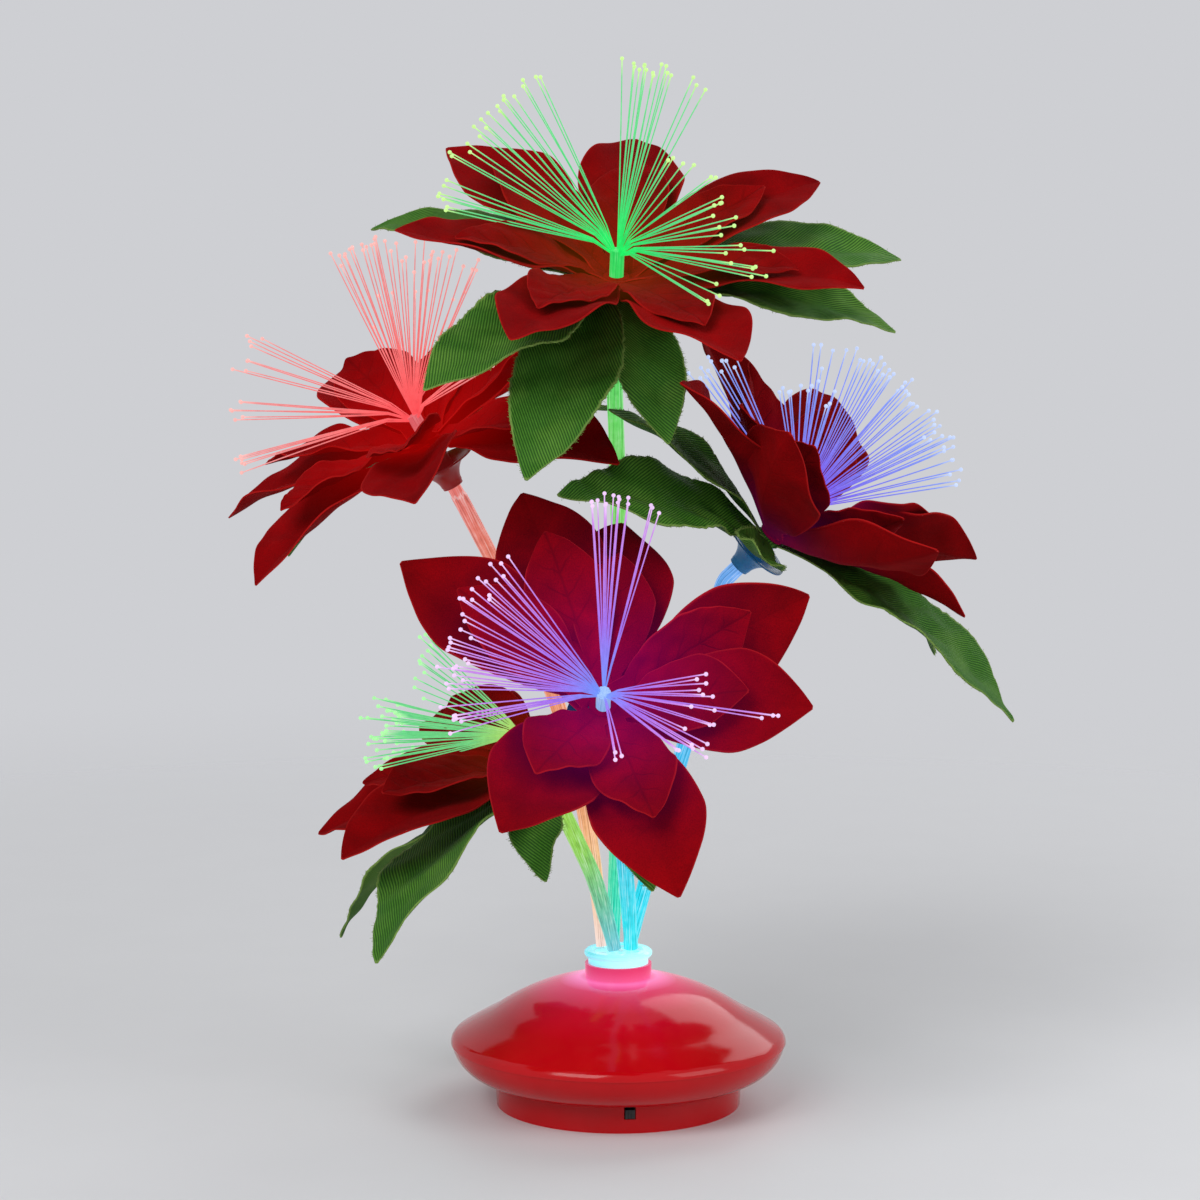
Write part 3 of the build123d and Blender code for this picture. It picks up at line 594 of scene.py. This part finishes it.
def bundleFilm(name, flower):
    sockets = {"Roughness": 0.38, "Coat Weight": 0.2, "Coat Roughness": 0.14,
               "Emission Strength": filmLook["glowLevel"]}
    made, tree, shader = newMaterial(name, sockets)
    along = attribute(tree, "along")
    ring = attribute(tree, "ring", "Vector")
    stretch = maths(tree, "MULTIPLY", along, filmLook["streakStretch"])
    stretched = add(tree, "ShaderNodeCombineXYZ", {"Z": stretch}).outputs[0]
    streakPlace = vectorMaths(tree, "ADD", {0: ring, 1: stretched})
    streak = noise(tree, streakPlace, filmLook["streakScale"], detail=4.0, distortion=0.2)
    crease = noise(tree, objectPlace(tree), filmLook["creaseScale"], detail=3.0)
    crease = spread(tree, crease, -filmLook["creaseShare"], filmLook["creaseShare"])
    level = maths(tree, "ADD", streak, crease)
    light = ramp(tree, along, stops(flower["stemColours"]))
    dark = mixed(tree, 1.0, light, filmLook["shade"], "MULTIPLY")
    bright = mixed(tree, filmLook["brighten"], light, white)
    low = mixed(tree, mapped(tree, level, *filmLook["darkRange"]), dark, light)
    colour = mixed(tree, mapped(tree, level, *filmLook["brightRange"]), low, bright)
    # the bare bundle above the film is a shade deeper, and the film's torn edge paler
    film = attribute(tree, "film")
    colour = mixed(tree, film, mixed(tree, filmLook["bareDepth"], colour, light), colour)
    tear = maths(tree, "MULTIPLY", film, maths(tree, "SUBTRACT", 1.0, film))
    colour = mixed(tree, tear, colour, white)
    feed(tree, shader, {
        "Base Color": mixed(tree, 1.0, colour, filmLook["body"], "MULTIPLY"),
        "Emission Color": colour,
        "Normal": bumped(tree, level, filmLook["bumpStrength"], filmLook["bumpDepth"]),
    })
    return made


def makeStems():
    tree = stemTree()
    for seed, (name, flower) in enumerate(flowers.items()):
        line = stemLine(name, flower)
        setTree(line, tree, {
            "Radius": stemLook["radius"], "Rings": stemLook["rings"], "Sides": stemLook["sides"],
            "Flutes": float(stemLook["flutes"]), "Flute Depth": stemLook["fluteDepth"],
            "Twist": stemLook["twist"], "Wrinkle": stemLook["wrinkle"], "Film End": stemLook["filmEnd"],
            "Film Tear": stemLook["filmTear"], "Film Swell": stemLook["filmSwell"], "Seed": float(seed),
            "Finish": bundleFilm(name + "Film", flower)})
        piece = plainMesh(line, name + "Stem")
        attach(piece, name + "_flower")
        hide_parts(name + "_stem")


# Fabric blades: die-cut sheets creased along the midrib, built as closed surfaces in the hub's frame
# lengths in millimetres; droop, lift, twist, curl and riseLimit in degrees, the waves' angles in radians
# root is a share of the half width; widest and the starts and ends are shares of the length
outerLook = dict(share=1.0, width=33.0, root=0.36, veins=0.16, droop=16.0, lift=0.0, middle=0.0, rows=56,
                 columns=29, widest=0.62, point=1.6, ripple=1.4, sway=0.02, twist=9.0, curl=12.0,
                 crinkle=0.24, crinklePitch=(9.0, 18.0))
innerLook = dict(share=0.73, width=25.0, root=0.4, veins=0.42, droop=12.0, lift=11.0, middle=1.8, rows=56,
                 columns=29, widest=0.62, point=1.6, ripple=1.2, sway=0.02, twist=9.0, curl=10.0,
                 crinkle=0.32, crinklePitch=(5.0, 11.0))
leafLook = dict(slimness=0.39, root=0.11, fold=0.2, droop=34.0, middle=-1.8, rows=72, columns=27, widest=0.5,
                point=1.75, ripple=1.7, sway=0.03, twist=10.0, curl=8.0, crinkle=0.42,
                crinklePitch=(9.0, 17.0))
sheetLook = dict(fullLength=74.0, thickness=0.45, riseLimit=40.0, rootRadius=3.8, tipShare=0.03,
                 softCrease=0.06, curlStart=0.55, curlRange=(-0.6, 1.0), bendStart=0.2, rollEnd=0.3,
                 creaseEnd=0.25, rippleCount=(1.2, 2.6), rippleSkew=1.3, rippleEdge=2.5, rippleFull=1.3,
                 waves=5, waveAngle=(0.3, 2.8), wavePhase=7, glowHeight=16.0, glowFall=1.6, firstSeed=40)
eyeletLook = dict(inner=2.4, wall=1.8, height=1.6, soft=0.35, turns=36, tone=0.5)
fringeLook = dict(nick=0.014, threads=200, threadRadius=0.06 * mm, sides=3, shortest=0.15, longest=0.7,
                  stray=0.4, edgeRange=(0.1, 0.99))


def eased(value, start, end):
    return np.clip((value - start) / (end - start), 0, 1)


def outlineShare(look, along):
    # half width swelling to the widest place, then running to a point
    widest = look["widest"]
    swelling = np.sin(np.pi / 2 * np.clip(along / widest, 0, 1))
    closing = 1 - eased(along, widest, 1) ** look["point"]
    share = np.where(along < widest, swelling, closing)
    return np.maximum(share, look["root"] * (1 - along)) + sheetLook["tipShare"] * along


def crinkled(look, run, across, dice):
    # soft creases: waves at mixed angles
    total = 0
    for i in range(sheetLook["waves"]):
        angle = dice.uniform(*sheetLook["waveAngle"])
        pitch = dice.uniform(*look["crinklePitch"])
        ahead = run * math.cos(angle) + across * math.sin(angle)
        total = total + np.sin(2 * math.pi * ahead / pitch + sheetLook["wavePhase"] * i)
    return look["crinkle"] * total / math.sqrt(sheetLook["waves"])


def midribLine(look, slope, length):
    # the midrib's distance from the axis and its height, from its slope at each row
    step = length / (look["rows"] - 1)
    between = (slope[1:] + slope[:-1]) / 2
    zero = np.zeros((1, 1))
    out = sheetLook["rootRadius"] + np.concatenate([zero, np.cumsum(np.cos(between) * step, 0)])
    up = look["middle"] + np.concatenate([zero, np.cumsum(np.sin(between) * step, 0)])
    return out, up


def bladeSurface(look, blade, frayed, dice):
    rise, length, width, roll, bend = blade
    along = np.linspace(0, 1, look["rows"])[:, None]
    side = np.linspace(-1, 1, look["columns"])[None, :]
    share = outlineShare(look, along)
    half = width / 2 * share + 0 * side
    if frayed:
        nicks = 1 + fringeLook["nick"] * dice.standard_normal((look["rows"], 2))
        half = half * np.where(side < 0, nicks[:, :1], nicks[:, 1:])
    # slope of the midrib: droop all the way, curl at the tip, and the bend of a blade that stands up
    droop = math.radians(look["droop"])
    curl = math.radians(look["curl"]) * dice.uniform(*sheetLook["curlRange"])
    curling = curl * eased(along, sheetLook["curlStart"], 1) ** 2
    slope = math.radians(rise) + droop / 2 - droop * along - curling
    slope = slope + math.radians(bend) * eased(along, sheetLook["bendStart"], 1)
    out, up = midribLine(look, slope, length)
    # height above the midrib: fold, rippled edge and soft creases
    across = half * side
    soft = sheetLook["softCrease"]
    lift = look["fold"] * half * (np.sqrt(side * side + soft * soft) - soft)
    waves, phase = dice.uniform(*sheetLook["rippleCount"]), dice.uniform(0, 2 * math.pi)
    edgeWave = np.sin(2 * math.pi * waves * along + phase + sheetLook["rippleSkew"] * np.sign(side))
    wide = np.clip(sheetLook["rippleFull"] * share, 0, 1)
    ripple = look["ripple"] * wide * np.abs(side) ** sheetLook["rippleEdge"] * edgeWave
    creases = crinkled(look, along * length, across, dice)
    lift = lift + eased(along, 0, sheetLook["creaseEnd"]) * (ripple + creases)
    sway = look["sway"] * length * dice.uniform(-1, 1) * along ** 2
    twist = math.radians(look["twist"]) * dice.uniform(-1, 1) * along
    roll = twist + math.radians(roll) * eased(along, 0, sheetLook["rollEnd"])
    aside = sway + across * np.cos(roll) - lift * np.sin(roll)
    lift = across * np.sin(roll) + lift * np.cos(roll)
    surface = np.stack([out - np.sin(slope) * lift, aside, up + np.cos(slope) * lift], -1)
    flat = np.stack([across, along * length + 0 * side], -1)
    edge = np.maximum(np.abs(side), 1 - (1 - along) * 2 * length / width)
    return surface, flat, edge


def bladeSheet(look, turn, blade, frayed, dice):
    # one blade turned into place round the hub, with the points of its two faces
    surface, flat, edge = bladeSurface(look, blade, frayed, dice)
    surface = surface @ np.array(Matrix.Rotation(math.radians(turn), 3, "Z")).T
    normal = np.cross(np.gradient(surface, axis=0), np.gradient(surface, axis=1))
    normal /= np.linalg.norm(normal, axis=-1, keepdims=True) + 1e-12  # never a division by zero
    offset = normal * sheetLook["thickness"] / 2
    both = np.concatenate([(surface + offset).reshape(-1, 3), (surface - offset).reshape(-1, 3)])
    return surface, both, np.tile(flat.reshape(-1, 2), (2, 1)), np.tile(edge.ravel(), 2)


def sheetFaces(rows, columns, start):
    # top, bottom and rim of one closed sheet
    count = rows * columns
    grid = np.arange(count).reshape(rows, columns) + start
    a, b, c, d = grid[:-1, :-1], grid[1:, :-1], grid[1:, 1:], grid[:-1, 1:]
    top = np.stack([a, b, c, d], -1).reshape(-1, 4)
    bottom = top[:, ::-1] + count
    loop = np.concatenate([grid[0, :-1], grid[:-1, -1], grid[-1, :0:-1], grid[:0:-1, 0]])
    after = np.roll(loop, -1)
    rim = np.stack([loop, after, after + count, loop + count], -1)
    return np.concatenate([top, bottom]), rim


def eyeletRing(middle):
    inner, outer = eyeletLook["inner"], eyeletLook["inner"] + eyeletLook["wall"]
    half, soft, turns = eyeletLook["height"] / 2, eyeletLook["soft"], eyeletLook["turns"]
    profile = [(inner, -half), (outer - soft, -half), (outer, -half + soft),
               (outer, half - soft), (outer - soft, half), (inner, half)]
    angles = np.linspace(0, 2 * math.pi, turns, endpoint=False)
    points = [(r * math.cos(a), r * math.sin(a), middle + z) for a in angles for r, z in profile]
    size = len(profile)
    faces = []
    for i in range(turns):
        for j in range(size):
            k, n = (j + 1) % size, (i + 1) % turns
            faces.append((i * size + j, n * size + j, n * size + k, i * size + k))
    return np.array(points), np.array(faces)


def fringeOf(surface, dice):
    # where loose threads leave the cut edges, and how far they reach
    last = len(surface) - 1
    starts, reaches = [], []
    for edge, inside in ((surface[:, 0], surface[:, 1]), (surface[:, -1], surface[:, -2])):
        spot = dice.uniform(*fringeLook["edgeRange"], fringeLook["threads"]) * last
        low = spot.astype(int)
        share = (spot - low)[:, None]
        start = edge[low] * (1 - share) + edge[low + 1] * share
        out = start - inside[low] * (1 - share) - inside[low + 1] * share
        out = out / np.linalg.norm(out, axis=1, keepdims=True)
        out = out + dice.normal(0, fringeLook["stray"], out.shape)
        starts.append(start)
        reaches.append(out * dice.uniform(fringeLook["shortest"], fringeLook["longest"], share.shape))
    return np.concatenate(starts), np.concatenate(reaches)


def quadMesh(name, points, smooth, sharp):
    quads = np.concatenate(smooth + sharp)
    mesh = bpy.data.meshes.new(name)
    mesh.from_pydata(points.tolist(), [], quads.tolist())
    mesh.polygons.foreach_set("use_smooth", np.arange(len(quads)) < sum(map(len, smooth)))
    return mesh


def laidFlat(mesh, flats):
    # the blade's flat pattern as the mesh's UV map
    corners = np.zeros(len(mesh.loops), np.int32)
    mesh.loops.foreach_get("vertex_index", corners)
    flatMap = mesh.uv_layers.new(name="flatMap")
    flatMap.data.foreach_set("uv", (np.concatenate(flats)[corners] * mm).astype(np.float32).ravel())


def whorlMesh(name, flower, blades, look, frayed, dice):
    place = np.array(hubPlace(flower))
    ringPoints, ringFaces = eyeletRing(look["middle"])
    points, flats = [ringPoints], [ringPoints[:, :2]]
    edges, tones = [np.zeros(len(ringPoints))], [np.full(len(ringPoints), eyeletLook["tone"])]
    smooth, sharp, threads = [], [ringFaces], []
    for turn, *blade in blades:
        surface, both, flat, edge = bladeSheet(look, turn, blade, frayed, dice)
        faces, rim = sheetFaces(look["rows"], look["columns"], sum(map(len, points)))
        points.append(both)
        flats.append(flat)
        edges.append(edge)
        smooth.append(faces)
        sharp.append(rim)
        tones.append(np.full(len(both), dice.uniform()))
        if frayed:
            threads.append(fringeOf(surface, dice))
    local = np.concatenate(points) * mm
    mesh = quadMesh(name, local @ place[:3, :3].T + place[:3, 3], smooth, sharp)
    fromHeart = np.linalg.norm(local - np.array([0, 0, sheetLook["glowHeight"] * mm]), axis=1)
    glow = np.exp(-(fromHeart / (flower["glowReach"] * mm)) ** sheetLook["glowFall"])
    for label, values in (("edge", np.concatenate(edges)), ("tone", np.concatenate(tones)), ("glow", glow)):
        mesh.attributes.new(label, "FLOAT", "POINT").data.foreach_set("value", values.astype(np.float32))
    laidFlat(mesh, flats)
    mesh.update()
    if frayed:
        starts, reaches = (np.concatenate(part) * mm @ place[:3, :3].T for part in zip(*threads))
        threads = (starts + place[:3, 3], reaches)
    return linkedObject(name, mesh), threads


# Velvet of the petals: pile, pressed veins, a paler cut edge, and light from the spray near the hub
velvetLook = dict(red=tint(146, 1, 5), deep=tint(106, 0, 3), pressed=tint(64, 0, 3), edge=tint(180, 28, 26),
                  sheen=tint(220, 40, 40), glowLevel=0.4, napScale=70.0, napShare=0.7, toneShare=0.3,
                  pileScale=2600.0, pileRange=(0.42, 0.64), pileShade=0.3, pileHeight=0.35,
                  veinPitch=7.6 * mm, veinSlope=0.95, veinWidth=0.7 * mm, veinWander=0.8 * mm,
                  wanderScale=140.0, veinFade=(0.95, 0.3), veinHeight=2, edgeRange=(0.965, 0.995),
                  edgeShare=0.6, bumpStrength=0.6, bumpDepth=0.3 * mm)


def pressedVeins(tree, flat, edge):
    # 1 on the midrib and on the side veins, which fade towards the cut edge
    place = add(tree, "ShaderNodeSeparateXYZ", {0: flat}).outputs
    across = maths(tree, "ABSOLUTE", place["X"])
    wander = noise(tree, flat, velvetLook["wanderScale"])
    wander = spread(tree, wander, -velvetLook["veinWander"], velvetLook["veinWander"])
    back = maths(tree, "SUBTRACT", place["Y"], maths(tree, "MULTIPLY", across, velvetLook["veinSlope"]))
    gap = maths(tree, "PINGPONG", maths(tree, "ADD", back, wander), velvetLook["veinPitch"] / 2)
    side = mapped(tree, gap, velvetLook["veinWidth"], 0.0, kind="SMOOTHSTEP")
    side = maths(tree, "MULTIPLY", side, mapped(tree, edge, *velvetLook["veinFade"]))
    midrib = mapped(tree, across, velvetLook["veinWidth"], 0.0, kind="SMOOTHSTEP")
    return maths(tree, "MAXIMUM", side, midrib)


def velvet(name, flower, veins):
    sockets = {"Roughness": 0.95, "Specular IOR Level": 0.06, "Sheen Weight": 0.1, "Sheen Roughness": 0.3,
               "Sheen Tint": velvetLook["sheen"], "Emission Strength": velvetLook["glowLevel"]}
    made, tree, shader = newMaterial(name, sockets)
    place = objectPlace(tree)
    edge = attribute(tree, "edge")
    nap = noise(tree, place, velvetLook["napScale"], detail=4.0, distortion=0.6)
    pile = noise(tree, place, velvetLook["pileScale"])
    vein = pressedVeins(tree, flatPlace(tree), edge)
    own = maths(tree, "MULTIPLY", attribute(tree, "tone"), velvetLook["toneShare"])
    tone = maths(tree, "ADD", spread(tree, nap, 0.0, velvetLook["napShare"]), own)
    colour = mixed(tree, tone, velvetLook["deep"], velvetLook["red"])
    dark = mapped(tree, pile, *velvetLook["pileRange"], 0.0, velvetLook["pileShade"])
    dark = maths(tree, "MAXIMUM", dark, maths(tree, "MULTIPLY", vein, veins))
    colour = mixed(tree, dark, colour, velvetLook["pressed"])
    rim = mapped(tree, edge, *velvetLook["edgeRange"], 0.0, velvetLook["edgeShare"])
    colour = mixed(tree, rim, colour, velvetLook["edge"])
    raised = maths(tree, "MULTIPLY", pile, velvetLook["pileHeight"])
    height = maths(tree, "SUBTRACT", raised, maths(tree, "MULTIPLY", vein, velvetLook["veinHeight"] * veins))
    feed(tree, shader, {
        "Base Color": colour,
        "Normal": bumped(tree, height, velvetLook["bumpStrength"], velvetLook["bumpDepth"]),
        "Emission Color": mixed(tree, attribute(tree, "glow"), black, tint(*flower["petalGlow"])),
    })
    return made


# Woven leaves: slanting ribs of yarn, a painted highlight in patches on the ribs' crests, and paler along
# the frayed edge
# pale: the colour of the painted highlight on the rib crests
weaveLook = dict(groove=tint(26, 70, 14), ridge=tint(76, 134, 38), pale=tint(118, 164, 66),
                 frayed=tint(136, 166, 84), ribScale=390.0, ribTurn=0.62, ribWander=0.4,
                 yarnScale=(3000.0, 600.0, 1.0), yarnShade=(0.55, 1.0), highlightPatchScale=75.0,
                 highlightPatchRange=(0.42, 0.72), highlightRibs=(0.3, 0.8, 0.1, 0.5), edgeRange=(0.94, 0.99),
                 edgeShare=0.7, bumpStrength=0.5, bumpDepth=0.25 * mm)


def wovenLeaf():
    made, tree, shader = newMaterial("wovenLeaf", {"Roughness": 0.7, "Specular IOR Level": 0.16})
    slant = {"Vector": flatPlace(tree), "Rotation": (0, 0, weaveLook["ribTurn"])}
    slanted = add(tree, "ShaderNodeMapping", slant).outputs[0]
    wave = {"Vector": slanted, "Scale": weaveLook["ribScale"], "Distortion": weaveLook["ribWander"],
            "Detail": 1.0}
    rib = add(tree, "ShaderNodeTexWave", wave).outputs["Fac"]
    yarn = add(tree, "ShaderNodeMapping", {"Vector": slanted, "Scale": weaveLook["yarnScale"]}).outputs[0]
    thread = spread(tree, noise(tree, yarn, 1.0), *weaveLook["yarnShade"])
    cloud = noise(tree, objectPlace(tree), weaveLook["highlightPatchScale"], detail=3.0)
    weave = maths(tree, "MULTIPLY", rib, thread)
    colour = mixed(tree, weave, weaveLook["groove"], weaveLook["ridge"])
    # painted highlight: the pale colour laid on the rib crests in soft patches, standing in for light on the
    # leaf's bulges
    highlightPatch = mapped(tree, cloud, *weaveLook["highlightPatchRange"])
    light = maths(tree, "MULTIPLY", highlightPatch, mapped(tree, rib, *weaveLook["highlightRibs"]))
    colour = mixed(tree, light, colour, weaveLook["pale"])
    rim = mapped(tree, attribute(tree, "edge"), *weaveLook["edgeRange"], 0.0, weaveLook["edgeShare"])
    colour = mixed(tree, rim, colour, weaveLook["frayed"])
    normal = bumped(tree, weave, weaveLook["bumpStrength"], weaveLook["bumpDepth"])
    feed(tree, shader, {"Base Color": colour, "Normal": normal})
    return made


def fringeTree():
    inputs = [("Thread Radius", "Float"), ("Sides", "Int"), ("Finish", "Material")]
    tree, given = newTree("leafFringe", inputs)
    reach = named(tree, "reach", "FLOAT_VECTOR")
    length = vectorMaths(tree, "LENGTH", {0: reach}, "Value")
    radius = given["Thread Radius"]
    shape = {"Vertices": given["Sides"], "Radius Top": radius, "Radius Bottom": radius, "Depth": 1.0}
    thread = add(tree, "GeometryNodeMeshCone", shape).outputs[0]
    thread = stored(tree, thread, "edge", 1.0)
    turn = add(tree, "FunctionNodeAlignRotationToVector", {"Vector": reach}, axis="Z").outputs[0]
    size = add(tree, "ShaderNodeCombineXYZ", {"X": 1.0, "Y": 1.0, "Z": length}).outputs[0]
    sockets = {"Points": given["Geometry"], "Instance": thread, "Rotation": turn, "Scale": size}
    endTree(tree, add(tree, "GeometryNodeInstanceOnPoints", sockets).outputs[0], given["Finish"])
    return tree


def makeFringe(name, threads, tree, finish):
    starts, reaches = threads
    mesh = bpy.data.meshes.new(name + "Starts")
    mesh.from_pydata(starts.tolist(), [], [])
    reach = mesh.attributes.new("reach", "FLOAT_VECTOR", "POINT")
    reach.data.foreach_set("vector", reaches.astype(np.float32).ravel())
    holder = linkedObject(name + "Starts", mesh)
    setTree(holder, tree, {
        "Thread Radius": fringeLook["threadRadius"], "Sides": fringeLook["sides"], "Finish": finish})
    piece = plainMesh(holder, name + "Fringe")
    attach(piece, name + "_flower")


def petalBlades(flower, look):
    rolled, turned, bent = (flower.get(key, {}) for key in ("rolled", "turned", "bent"))
    full = sheetLook["fullLength"] * look["share"]
    lift = look["lift"] * flower.get("nested", 1.0)
    blades = []
    for turn, rise, share in flower["petals"]:
        place = (turn + turned.get(turn, 0), min(rise + lift, sheetLook["riseLimit"]))
        blades.append((*place, full * share, look["width"], rolled.get(turn, 0), bent.get(turn, 0)))
    return blades


def leafBlades(flower):
    curled = flower.get("curled", {})
    return [(turn, rise, length, length * leafLook["slimness"], 0, curled.get(turn, 0))
            for turn, rise, length in flower["leaves"]]


def makeFabric():
    leafFinish = wovenLeaf()
    looseThreads = fringeTree()
    for seed, (name, flower) in enumerate(flowers.items(), sheetLook["firstSeed"]):
        dice = np.random.default_rng(seed)
        for label, look in (("outer", outerLook), ("inner", innerLook)):
            creased = dict(look, fold=flower["fold"])
            title = name + label.title()
            piece, _ = whorlMesh(title + "Petals", flower, petalBlades(flower, look), creased, False, dice)
            finishWith(piece, velvet(title + "Velvet", flower, look["veins"]))
            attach(piece, name + "_flower")
            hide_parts(f"{name}_{label}_petals")
        piece, threads = whorlMesh(name + "Leaves", flower, leafBlades(flower), leafLook, True, dice)
        finishWith(piece, leafFinish)
        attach(piece, name + "_flower")
        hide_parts(name + "_leaves")
        makeFringe(name, threads, looseThreads, leafFinish)


# Calyx cups: translucent plastic, tinted by the light in the bundle
cupLook = dict(glowLevel=0.5, cloudScale=240.0, paleShare=0.8, paleExtra=0.02, dimShare=0.25,
               dimReach=11 * mm, paleReach=2 * mm, bumpStrength=0.04, bumpDepth=0.3 * mm)


def cupPlastic(name, flower):
    sockets = {"Roughness": 0.32, "Specular IOR Level": 0.3, "Subsurface Weight": 0.2,
               "Subsurface Scale": 1.5 * mm, "Emission Strength": cupLook["glowLevel"]}
    made, tree, shader = newMaterial(name, sockets)
    place = objectPlace(tree)
    cloud = noise(tree, place, cupLook["cloudScale"], detail=3.0)
    colour = tint(*flower["cupColour"])
    pale = shaded(colour, cupLook["paleShare"], cupLook["paleExtra"])
    reach = distanceFrom(tree, place, tuple(alongAxis(flower, stemLook["cupFoot"])))
    near = mapped(tree, reach, cupLook["dimReach"], cupLook["paleReach"])
    feed(tree, shader, {
        "Base Color": mixed(tree, cloud, colour, pale),
        "Emission Color": mixed(tree, near, shaded(colour, cupLook["dimShare"]), pale),
        "Normal": bumped(tree, cloud, cupLook["bumpStrength"], cupLook["bumpDepth"]),
    })
    return made


def dressCups():
    for name, flower in flowers.items():
        finishWith(parts[name + "_cup"], cupPlastic(name + "Cup", flower))


# Fibre sprays: strands fanned in clumps, each with a bright bead at its tip
sprayLook = dict(strandRadius=0.2 * mm, beadRadius=0.62 * mm, rootHeight=12 * mm, rootSpread=1.7 * mm,
                 rootRange=(0.3, 1.0), rootDepth=2.5 * mm, length=55 * mm, ragged=0.035, bow=0.022,
                 steps=9, sides=5, beadSegments=8, beadRings=6, firstSeed=70,
                 glowLevel=1.0, body=tint(90, 90, 90), shimmerScale=500.0, shimmer=(0.82, 1.0))


def viewAxes():
    place, target = Vector(photoCamera["place"]), Vector(photoCamera["target"])
    towards = (place - target).normalized()
    right = Vector((0, 0, 1)).cross(towards).normalized()
    return right, towards.cross(right), towards


def strandLines(name, flower, dice):
    right, upward, towards = viewAxes()
    root = alongAxis(flower, sprayLook["rootHeight"])
    axis = (root - Vector(flower["hub"]) * mm).normalized()
    last = sprayLook["steps"] - 1
    points, links = [], []
    for screenFrom, screenTo, nearFrom, nearTo, count in flower["clumps"]:
        for i in range(count):
            screen = math.radians(screenFrom + (screenTo - screenFrom) * (i + dice.uniform()) / count)
            near = math.radians(dice.uniform(nearFrom, nearTo))
            seen = right * math.cos(screen) + upward * math.sin(screen)
            aim = seen * math.cos(near) + towards * math.sin(near)
            aside = (aim - axis * aim.dot(axis)) * sprayLook["rootSpread"]
            start = root + aside * dice.uniform(*sprayLook["rootRange"])
            length = sprayLook["length"] * (1 + sprayLook["ragged"] * dice.uniform(-1, 1))
            bow = Vector(dice.uniform(-1, 1, 3)) * sprayLook["bow"] * length
            first = len(points)
            for share in (k / last for k in range(last + 1)):
                points.append(start + aim * length * share + bow * share * share)
            points[first] = points[first] - axis * sprayLook["rootDepth"]  # inside the end of the bundle
            links += [(first + k, first + k + 1) for k in range(last)]
    mesh = bpy.data.meshes.new(name + "Lines")
    mesh.from_pydata([tuple(p) for p in points], links, [])
    return linkedObject(name + "Lines", mesh)


def sprayTree():
    tree, given = newTree("fibreSpray", [
        ("Strand Radius", "Float"), ("Bead Radius", "Float"), ("Sides", "Int"), ("Bead Segments", "Int"),
        ("Bead Rings", "Int"), ("Finish", "Material")])
    line = add(tree, "GeometryNodeMeshToCurve", {"Mesh": given["Geometry"]}).outputs[0]
    line = stored(tree, line, "along", add(tree, "GeometryNodeSplineParameter").outputs["Factor"])
    strands = swept(tree, line, circle(tree, given["Sides"], given["Strand Radius"]))
    ball = {"Segments": given["Bead Segments"], "Rings": given["Bead Rings"], "Radius": given["Bead Radius"]}
    bead = add(tree, "GeometryNodeMeshUVSphere", ball).outputs[0]
    ends = add(tree, "GeometryNodeCurveEndpointSelection", {"Start Size": 0, "End Size": 1}).outputs[0]
    tips = {"Points": line, "Selection": ends, "Instance": bead}
    beads = add(tree, "GeometryNodeInstanceOnPoints", tips).outputs[0]
    whole = add(tree, "GeometryNodeJoinGeometry")
    for part in (strands, beads):
        tree.links.new(part, whole.inputs[0])
    whole = add(tree, "GeometryNodeSetShadeSmooth", {"Geometry": whole.outputs[0]}).outputs[0]
    endTree(tree, whole, given["Finish"])
    return tree


def litFibre(name, flower):
    made, tree, shader = newMaterial(name, {"Roughness": 0.3, "Emission Strength": sprayLook["glowLevel"]})
    colour = ramp(tree, attribute(tree, "along"), stops(flower["fibreColours"]))
    shimmer = noise(tree, objectPlace(tree), sprayLook["shimmerScale"])
    shimmer = spread(tree, shimmer, *sprayLook["shimmer"])
    feed(tree, shader, {
        "Base Color": mixed(tree, 1.0, colour, sprayLook["body"], "MULTIPLY"),
        "Emission Color": mixed(tree, 1.0, colour, shimmer, "MULTIPLY"),
    })
    return made


def makeSprays():
    tree = sprayTree()
    for seed, (name, flower) in enumerate(flowers.items(), sprayLook["firstSeed"]):
        lines = strandLines(name, flower, np.random.default_rng(seed))
        setTree(lines, tree, {
            "Strand Radius": sprayLook["strandRadius"], "Bead Radius": sprayLook["beadRadius"],
            "Sides": sprayLook["sides"], "Bead Segments": sprayLook["beadSegments"],
            "Bead Rings": sprayLook["beadRings"], "Finish": litFibre(name + "Light", flower)})
        piece = plainMesh(lines, name + "Fibres")
        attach(piece, name + "_flower")
        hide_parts(name + "_fibres")


makeStems()
print("stems: five film-wrapped bundles")
makeFabric()
print("fabric: petals and leaves")
dressCups()
makeSprays()
print("sprays: fibres with lit tips")
